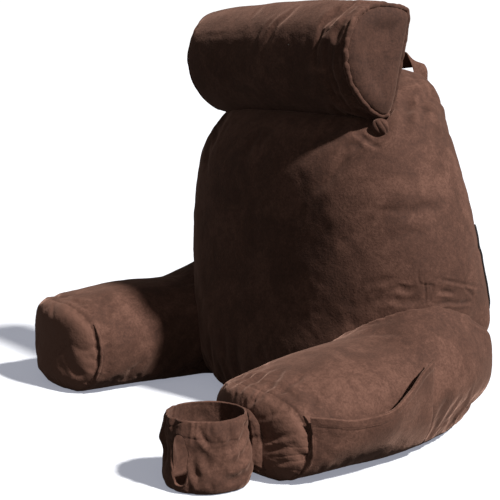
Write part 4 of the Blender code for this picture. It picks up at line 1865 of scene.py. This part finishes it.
# ---------------------------------------------------------------- floor, light and camera
def show_apart(
    tree: bpy.types.NodeTree,
    thrown: bpy.types.NodeSocket,
    shown: bpy.types.NodeSocket,
    end: bpy.types.NodeSocket,
) -> None:
    """Lets the camera see one shader while another lights the pillow.

    Args:
        tree: the node tree of both.
        thrown: what throws the light.
        shown: what the camera sees.
        end: where the shader goes.
    """
    mix = tree.nodes.new("ShaderNodeMixShader")
    tree.links.new(tree.nodes.new("ShaderNodeLightPath").outputs["Is Camera Ray"], mix.inputs["Fac"])
    tree.links.new(thrown, mix.inputs[1])
    tree.links.new(shown, mix.inputs[2])
    tree.links.new(mix.outputs["Shader"], end)


@dataclass
class Studio:
    """A plain white floor, soft light from the right and the camera."""

    floor_reach: float = 60.0
    backdrop: float = 1.1  # how bright the camera sees the surroundings
    key_azimuth: float = 104.5
    key_elevation: float = 45.0
    key_width: float = 4.0
    key_strength: float = 8.6
    fill_azimuth: float = 58.0
    fill_elevation: float = 24.0
    fill_width: float = 60.0
    fill_strength: float = 0.45
    ambient: float = 0.09
    floor_tone: Row = (0.45, 0.45, 0.45)
    floor_lift: Row = (0.26, 0.27, 0.32)
    floor_bounce: float = 0.07
    camera_place: Row = (1.5414, -1.2073, 0.5065)
    camera_azimuth: float = 55.25
    camera_elevation: float = 8.50
    lens: float = 97.2
    sensor: float = 36.0

    def direction(self, azimuth: float, elevation: float) -> Vector:
        """The way from the pillow to a place at an azimuth and an elevation, in degrees."""
        a, e = math.radians(azimuth), math.radians(elevation)
        return Vector((math.sin(a) * math.cos(e), -math.cos(a) * math.cos(e), math.sin(e)))

    def lamp(self, name: str, azimuth: float, elevation: float, width: float, strength: float) -> None:
        """A far and even light.

        Args:
            name: the lamp's name.
            azimuth: its direction round the pillow, in degrees.
            elevation: its height over the floor, in degrees.
            width: how wide it looks from the pillow, in degrees, which makes its shadows soft.
            strength: its light on a surface that faces it.
        """
        light = bpy.data.lights.new(name, "SUN")
        light.angle = math.radians(width)
        light.energy = strength
        lamp = bpy.data.objects.new(name, light)
        bpy.context.scene.collection.objects.link(lamp)
        lamp.location = self.direction(azimuth, elevation) * 3
        lamp.rotation_mode = "QUATERNION"
        lamp.rotation_quaternion = self.direction(azimuth, elevation).to_track_quat("Z", "Y")

    def paint(self) -> bpy.types.Material:
        """The floor's even white, which throws less light back at the pillow than it shows."""
        paint, shown = plain_material("floor_paint", 1.0, 0.0)
        shown.inputs["Base Color"].default_value = (*self.floor_tone, 1.0)
        shown.inputs["Emission Color"].default_value = (*self.floor_lift, 1.0)
        shown.inputs["Emission Strength"].default_value = 1.0
        nodes = paint.node_tree.nodes
        thrown = nodes.new("ShaderNodeBsdfDiffuse")
        thrown.inputs["Color"].default_value = (*[self.floor_bounce] * 3, 1.0)
        surface = nodes["Material Output"].inputs["Surface"]
        show_apart(paint.node_tree, thrown.outputs["BSDF"], shown.outputs["BSDF"], surface)
        return paint

    def build(self) -> None:
        """Sets up the floor, the light and the camera."""
        far = self.floor_reach
        sides = [[(x, y, 0) for x in (-far, far)] for y in (-far, far)]
        floor = loft("floor", np.array(sides), closed=False)
        floor.data.materials.append(self.paint())
        self.lamp("key", self.key_azimuth, self.key_elevation, self.key_width, self.key_strength)
        self.lamp("fill", self.fill_azimuth, self.fill_elevation, self.fill_width, self.fill_strength)
        world = bpy.data.worlds.new("studio")
        bpy.context.scene.world = world
        world.use_nodes = True
        nodes = world.node_tree.nodes
        thrown, shown = nodes["Background"], nodes.new("ShaderNodeBackground")
        for wall, strength in ((thrown, self.ambient), (shown, self.backdrop)):
            wall.inputs["Color"].default_value = (1.0, 1.0, 1.0, 1.0)
            wall.inputs["Strength"].default_value = strength
        surface = nodes["World Output"].inputs["Surface"]
        show_apart(world.node_tree, thrown.outputs["Background"], shown.outputs["Background"], surface)
        bpy.context.scene.view_settings.view_transform = "Standard"
        data = bpy.data.cameras.new("camera")
        data.lens = self.lens
        data.sensor_width = self.sensor
        camera = bpy.data.objects.new("camera", data)
        bpy.context.scene.collection.objects.link(camera)
        camera.location = self.camera_place
        camera.rotation_mode = "QUATERNION"
        back = self.direction(self.camera_azimuth, self.camera_elevation)
        camera.rotation_quaternion = back.to_track_quat("Z", "Y")
        bpy.context.scene.camera = camera


# ---------------------------------------------------------------- fold tables
ROLL_FOLDS = (
    # two long folds off the top, and a group by the near seam
    Fold(((0.052, -0.096, 0.557), (0.032, -0.112, 0.541), (0.023, -0.119, 0.528), (0.016, -0.123, 0.511),
          (0.014, -0.124, 0.494)), 0.0068, 0.0034, FoldKind.TUCK),
    Fold(((0.022, -0.104, 0.551), (0.012, -0.114, 0.538), (0.008, -0.120, 0.525), (0.003, -0.124, 0.502)),
         0.0056, 0.0024, FoldKind.TUCK),
    Fold(((0.172, -0.098, 0.552), (0.166, -0.111, 0.536), (0.163, -0.118, 0.520), (0.162, -0.121, 0.501),
          (0.167, -0.121, 0.485)), 0.0062, 0.0032, FoldKind.TUCK),
    Fold(((0.158, -0.108, 0.540), (0.154, -0.119, 0.518), (0.150, -0.122, 0.500)),
         0.0050, 0.0018, FoldKind.CREASE),
    Fold(((0.174, -0.116, 0.512), (0.170, -0.120, 0.488), (0.176, -0.116, 0.462)),
         0.0044, 0.0018, FoldKind.CREASE),
)

BACK_TOP_FOLDS = (
    # the tuck by the roll's tab and the pull below it
    Fold(((0.165, -0.085, 0.399), (0.176, -0.080, 0.391), (0.187, -0.077, 0.384), (0.200, -0.071, 0.378)),
         0.0042, 0.0042, FoldKind.TUCK),
    Fold(((0.188, -0.068, 0.398), (0.186, -0.076, 0.388), (0.185, -0.090, 0.366), (0.180, -0.105, 0.332)),
         0.0080, 0.0022, FoldKind.RIDGE),
    # folds that run down from the strap
    Fold(((0.125, 0.042, 0.470), (0.148, 0.036, 0.459), (0.167, 0.034, 0.449), (0.186, 0.036, 0.433)),
         0.0046, 0.0022, FoldKind.TUCK),
    Fold(((0.128, 0.060, 0.462), (0.150, 0.056, 0.452), (0.172, 0.054, 0.438)),
         0.0040, 0.0014, FoldKind.CREASE),
    Fold(((0.160, 0.006, 0.447), (0.172, 0.000, 0.438), (0.191, -0.019, 0.422), (0.205, -0.034, 0.405),
          (0.213, -0.044, 0.389)), 0.0075, 0.0036, FoldKind.TUCK),
    Fold(((0.170, 0.034, 0.449), (0.180, 0.026, 0.442), (0.202, 0.003, 0.419), (0.216, -0.014, 0.397),
          (0.225, -0.028, 0.376)), 0.0070, 0.0028, FoldKind.TUCK),
)

BACK_SIDE_FOLDS = (
    # where the arm joins: folds drawn across to the short seam, and the seam
    Fold(((0.214, -0.094, 0.181), (0.234, -0.080, 0.187), (0.246, -0.067, 0.184), (0.258, -0.051, 0.189)),
         0.0058, 0.0026, FoldKind.TUCK),
    Fold(((0.229, -0.085, 0.196), (0.241, -0.073, 0.200), (0.250, -0.062, 0.198), (0.257, -0.053, 0.201)),
         0.0048, 0.0015, FoldKind.CREASE),
    Fold(((0.205, -0.103, 0.200), (0.222, -0.092, 0.209), (0.240, -0.076, 0.212), (0.256, -0.056, 0.208)),
         0.0044, 0.0012, FoldKind.CREASE),
    Fold(((0.267, -0.030, 0.2125), (0.270, -0.015, 0.209), (0.271, -0.003, 0.206), (0.270, 0.012, 0.202),
          (0.268, 0.026, 0.199), (0.264, 0.046, 0.195), (0.254, 0.062, 0.190)),
         0.0026, 0.0030, FoldKind.TUCK),
    Fold(((0.266, -0.034, 0.178), (0.271, -0.013, 0.1795), (0.271, 0.004, 0.1775), (0.269, 0.025, 0.176),
          (0.262, 0.050, 0.172)), 0.0028, 0.0028, FoldKind.TUCK),
    Fold(((0.270, 0.014, 0.198), (0.270, 0.020, 0.194), (0.2685, 0.030, 0.186), (0.264, 0.046, 0.1755)),
         0.0028, 0.0020, FoldKind.CREASE),
    Fold(((0.268, -0.030, 0.196), (0.269, -0.020, 0.194), (0.269, -0.010, 0.1925), (0.269, 0.000, 0.191)),
         0.0034, 0.0026, FoldKind.TUCK),
    Crumple((0.208, -0.100, 0.180), 0.034, (0.018, 0.018, 0.026), 0.0017, 111),
    Crumple((0.262, -0.044, 0.196), 0.040, (0.022, 0.022, 0.011), 0.0012, 113),
)

BACK_SEAM_FOLDS = (
    # the two lines of the short seam, and the filling below it
    Fold(((0.2618, -0.0460, 0.214), (0.2620, -0.0446, 0.196), (0.2628, -0.0440, 0.176)),
         0.0016, 0.0013, FoldKind.GROOVE),
    Fold(((0.2640, -0.0405, 0.210), (0.2642, -0.0400, 0.196), (0.2650, -0.0396, 0.182)),
         0.0013, 0.0006, FoldKind.GROOVE),
    Bulge((0.243, 0.080, 0.137), 0.024, 0.0085),
)

ARM_FRONT_FOLDS = (
    # over the top by the sleeve
    Fold(((0.214, -0.318, 0.094), (0.222, -0.298, 0.108), (0.216, -0.272, 0.113)),
         0.0050, 0.0022, FoldKind.TUCK),
    Fold(((0.238, -0.318, 0.098), (0.243, -0.298, 0.111), (0.232, -0.266, 0.117)),
         0.0050, 0.0026, FoldKind.TUCK),
    Fold(((0.276, -0.314, 0.099), (0.271, -0.294, 0.111), (0.247, -0.258, 0.119)),
         0.0050, 0.0026, FoldKind.TUCK),
    Fold(((0.296, -0.304, 0.103), (0.290, -0.279, 0.113), (0.282, -0.252, 0.117)),
         0.0045, 0.0020, FoldKind.CREASE),
    # over the front end, from the sleeve's panel to the seam
    Fold(((0.284, -0.326, 0.074), (0.303, -0.315, 0.084), (0.322, -0.303, 0.092)),
         0.0034, 0.0015, FoldKind.TUCK),
    Fold(((0.288, -0.326, 0.053), (0.308, -0.317, 0.057), (0.338, -0.299, 0.071)),
         0.0036, 0.0018, FoldKind.TUCK),
    Fold(((0.290, -0.326, 0.038), (0.314, -0.313, 0.047), (0.337, -0.299, 0.056)),
         0.0032, 0.0013, FoldKind.CREASE),
    Fold(((0.290, -0.326, 0.022), (0.310, -0.313, 0.028), (0.332, -0.302, 0.038)),
         0.0032, 0.0014, FoldKind.TUCK),
    Fold(((0.262, -0.322, 0.088), (0.270, -0.319, 0.094), (0.284, -0.314, 0.100)),
         0.0040, 0.0018, FoldKind.CREASE),
    Crumple((0.255, -0.318, 0.096), 0.040, (0.020, 0.026, 0.018), 0.0014, 311),
    Crumple((0.325, -0.303, 0.050), 0.036, (0.034, 0.034, 0.009), 0.0008, 313),
    # the filling where it joins the back
    Bulge((0.272, 0.058, 0.122), 0.022, 0.0050),
)

ARM_BODY_FOLDS = (
    # where it joins the back, at the front of the pocket and in the lap
    Fold(((0.292, -0.031, 0.160), (0.3015, -0.0301, 0.1494), (0.309, -0.028, 0.139)),
         0.0030, 0.0018, FoldKind.TUCK),
    Fold(((0.281, 0.014, 0.154), (0.2754, 0.0341, 0.1438), (0.270, 0.048, 0.134)),
         0.0032, 0.0018, FoldKind.TUCK),
    Fold(((0.279, 0.000, 0.160), (0.278, 0.020, 0.153), (0.268, 0.046, 0.140), (0.248, 0.078, 0.120)),
         0.0048, 0.0020, FoldKind.TUCK),
    Fold(((0.346, -0.287, 0.074), (0.348, -0.278, 0.062), (0.346, -0.262, 0.050)),
         0.0045, 0.0014, FoldKind.CREASE),
    Crumple((0.205, -0.112, 0.148), 0.040, (0.018, 0.022, 0.016), 0.0022, 317),
)


OTHER_SIDE = 0.8  # depth of the folds at -X, as a share of those at +X


def mirrored(folds: Sequence[Fold | Crumple]) -> tuple[Relief, ...]:
    """The same folds on the pillow's other side, a little shallower."""
    return tuple(fold.mirrored(OTHER_SIDE) for fold in folds)


# ---------------------------------------------------------------- build
def main() -> None:
    """Builds the pieces in order, dresses them and reports each one."""
    logging.basicConfig(level=logging.INFO, format="%(name)s: %(message)s")
    Studio().build()
    backrest = FilledPiece(
        "backrest",
        voxel=0.0066,
        seed=101,
        lumps=0.0009,
        folds=BACK_TOP_FOLDS + BACK_SIDE_FOLDS + BACK_SEAM_FOLDS + mirrored(BACK_SIDE_FOLDS),
        fine_spots=(((0.262, -0.020, 0.194), 0.058),),
    )
    roll = NeckRoll("neck_roll", voxel=0.0046, seed=201, lumps=0.0009, folds=ROLL_FOLDS)
    near_arm = Arm(
        "arm_right",
        seed=301,
        folds=ARM_FRONT_FOLDS + ARM_BODY_FOLDS,
        fine_spots=(((0.305, -0.315, 0.055), 0.062),),
    )
    far_arm = Arm(
        "arm_left",
        side=Side.LEFT,
        seed=401,
        rise=0.026,
        toe_out=0.010,
        # a stronger painted highlight on the far end panel
        panel_tone=0.62,
        folds=mirrored(ARM_BODY_FOLDS),
    )
    covers = [backrest, roll, near_arm, far_arm]
    for cover in covers:
        cover.cut_out()
        LOG.info("%s cut out: %d points", cover.node, len(cover.piece.data.vertices))
    swell_together(covers)
    LOG.info("filled covers swelled")
    for cover in covers:
        cover.finish_surface()
    back_tree, arm_trees = tree_of(backrest.piece), [tree_of(near_arm.piece), tree_of(far_arm.piece)]
    backrest.plump_to(arm_trees)
    for arm in (near_arm, far_arm):
        arm.plump_to([back_tree])
    for cover in covers:
        cover.sew()
        cover.dress()
        LOG.info("%s sewn: %d faces", cover.node, len(cover.piece.data.polygons))
    for part in (CupHolder(), CarryStrap(), RollTab()):
        piece = part.build()
        LOG.info("%s sewn: %d faces", part.node, len(piece.data.polygons))
    for part, under in ((SidePocket(), near_arm), (CupPanel(), near_arm), (ZipStrip(), backrest)):
        piece = part.build(tree_of(under.piece))
        LOG.info("%s laid: %d faces", part.node, len(piece.data.polygons))


if __name__ == "__main__":
    main()
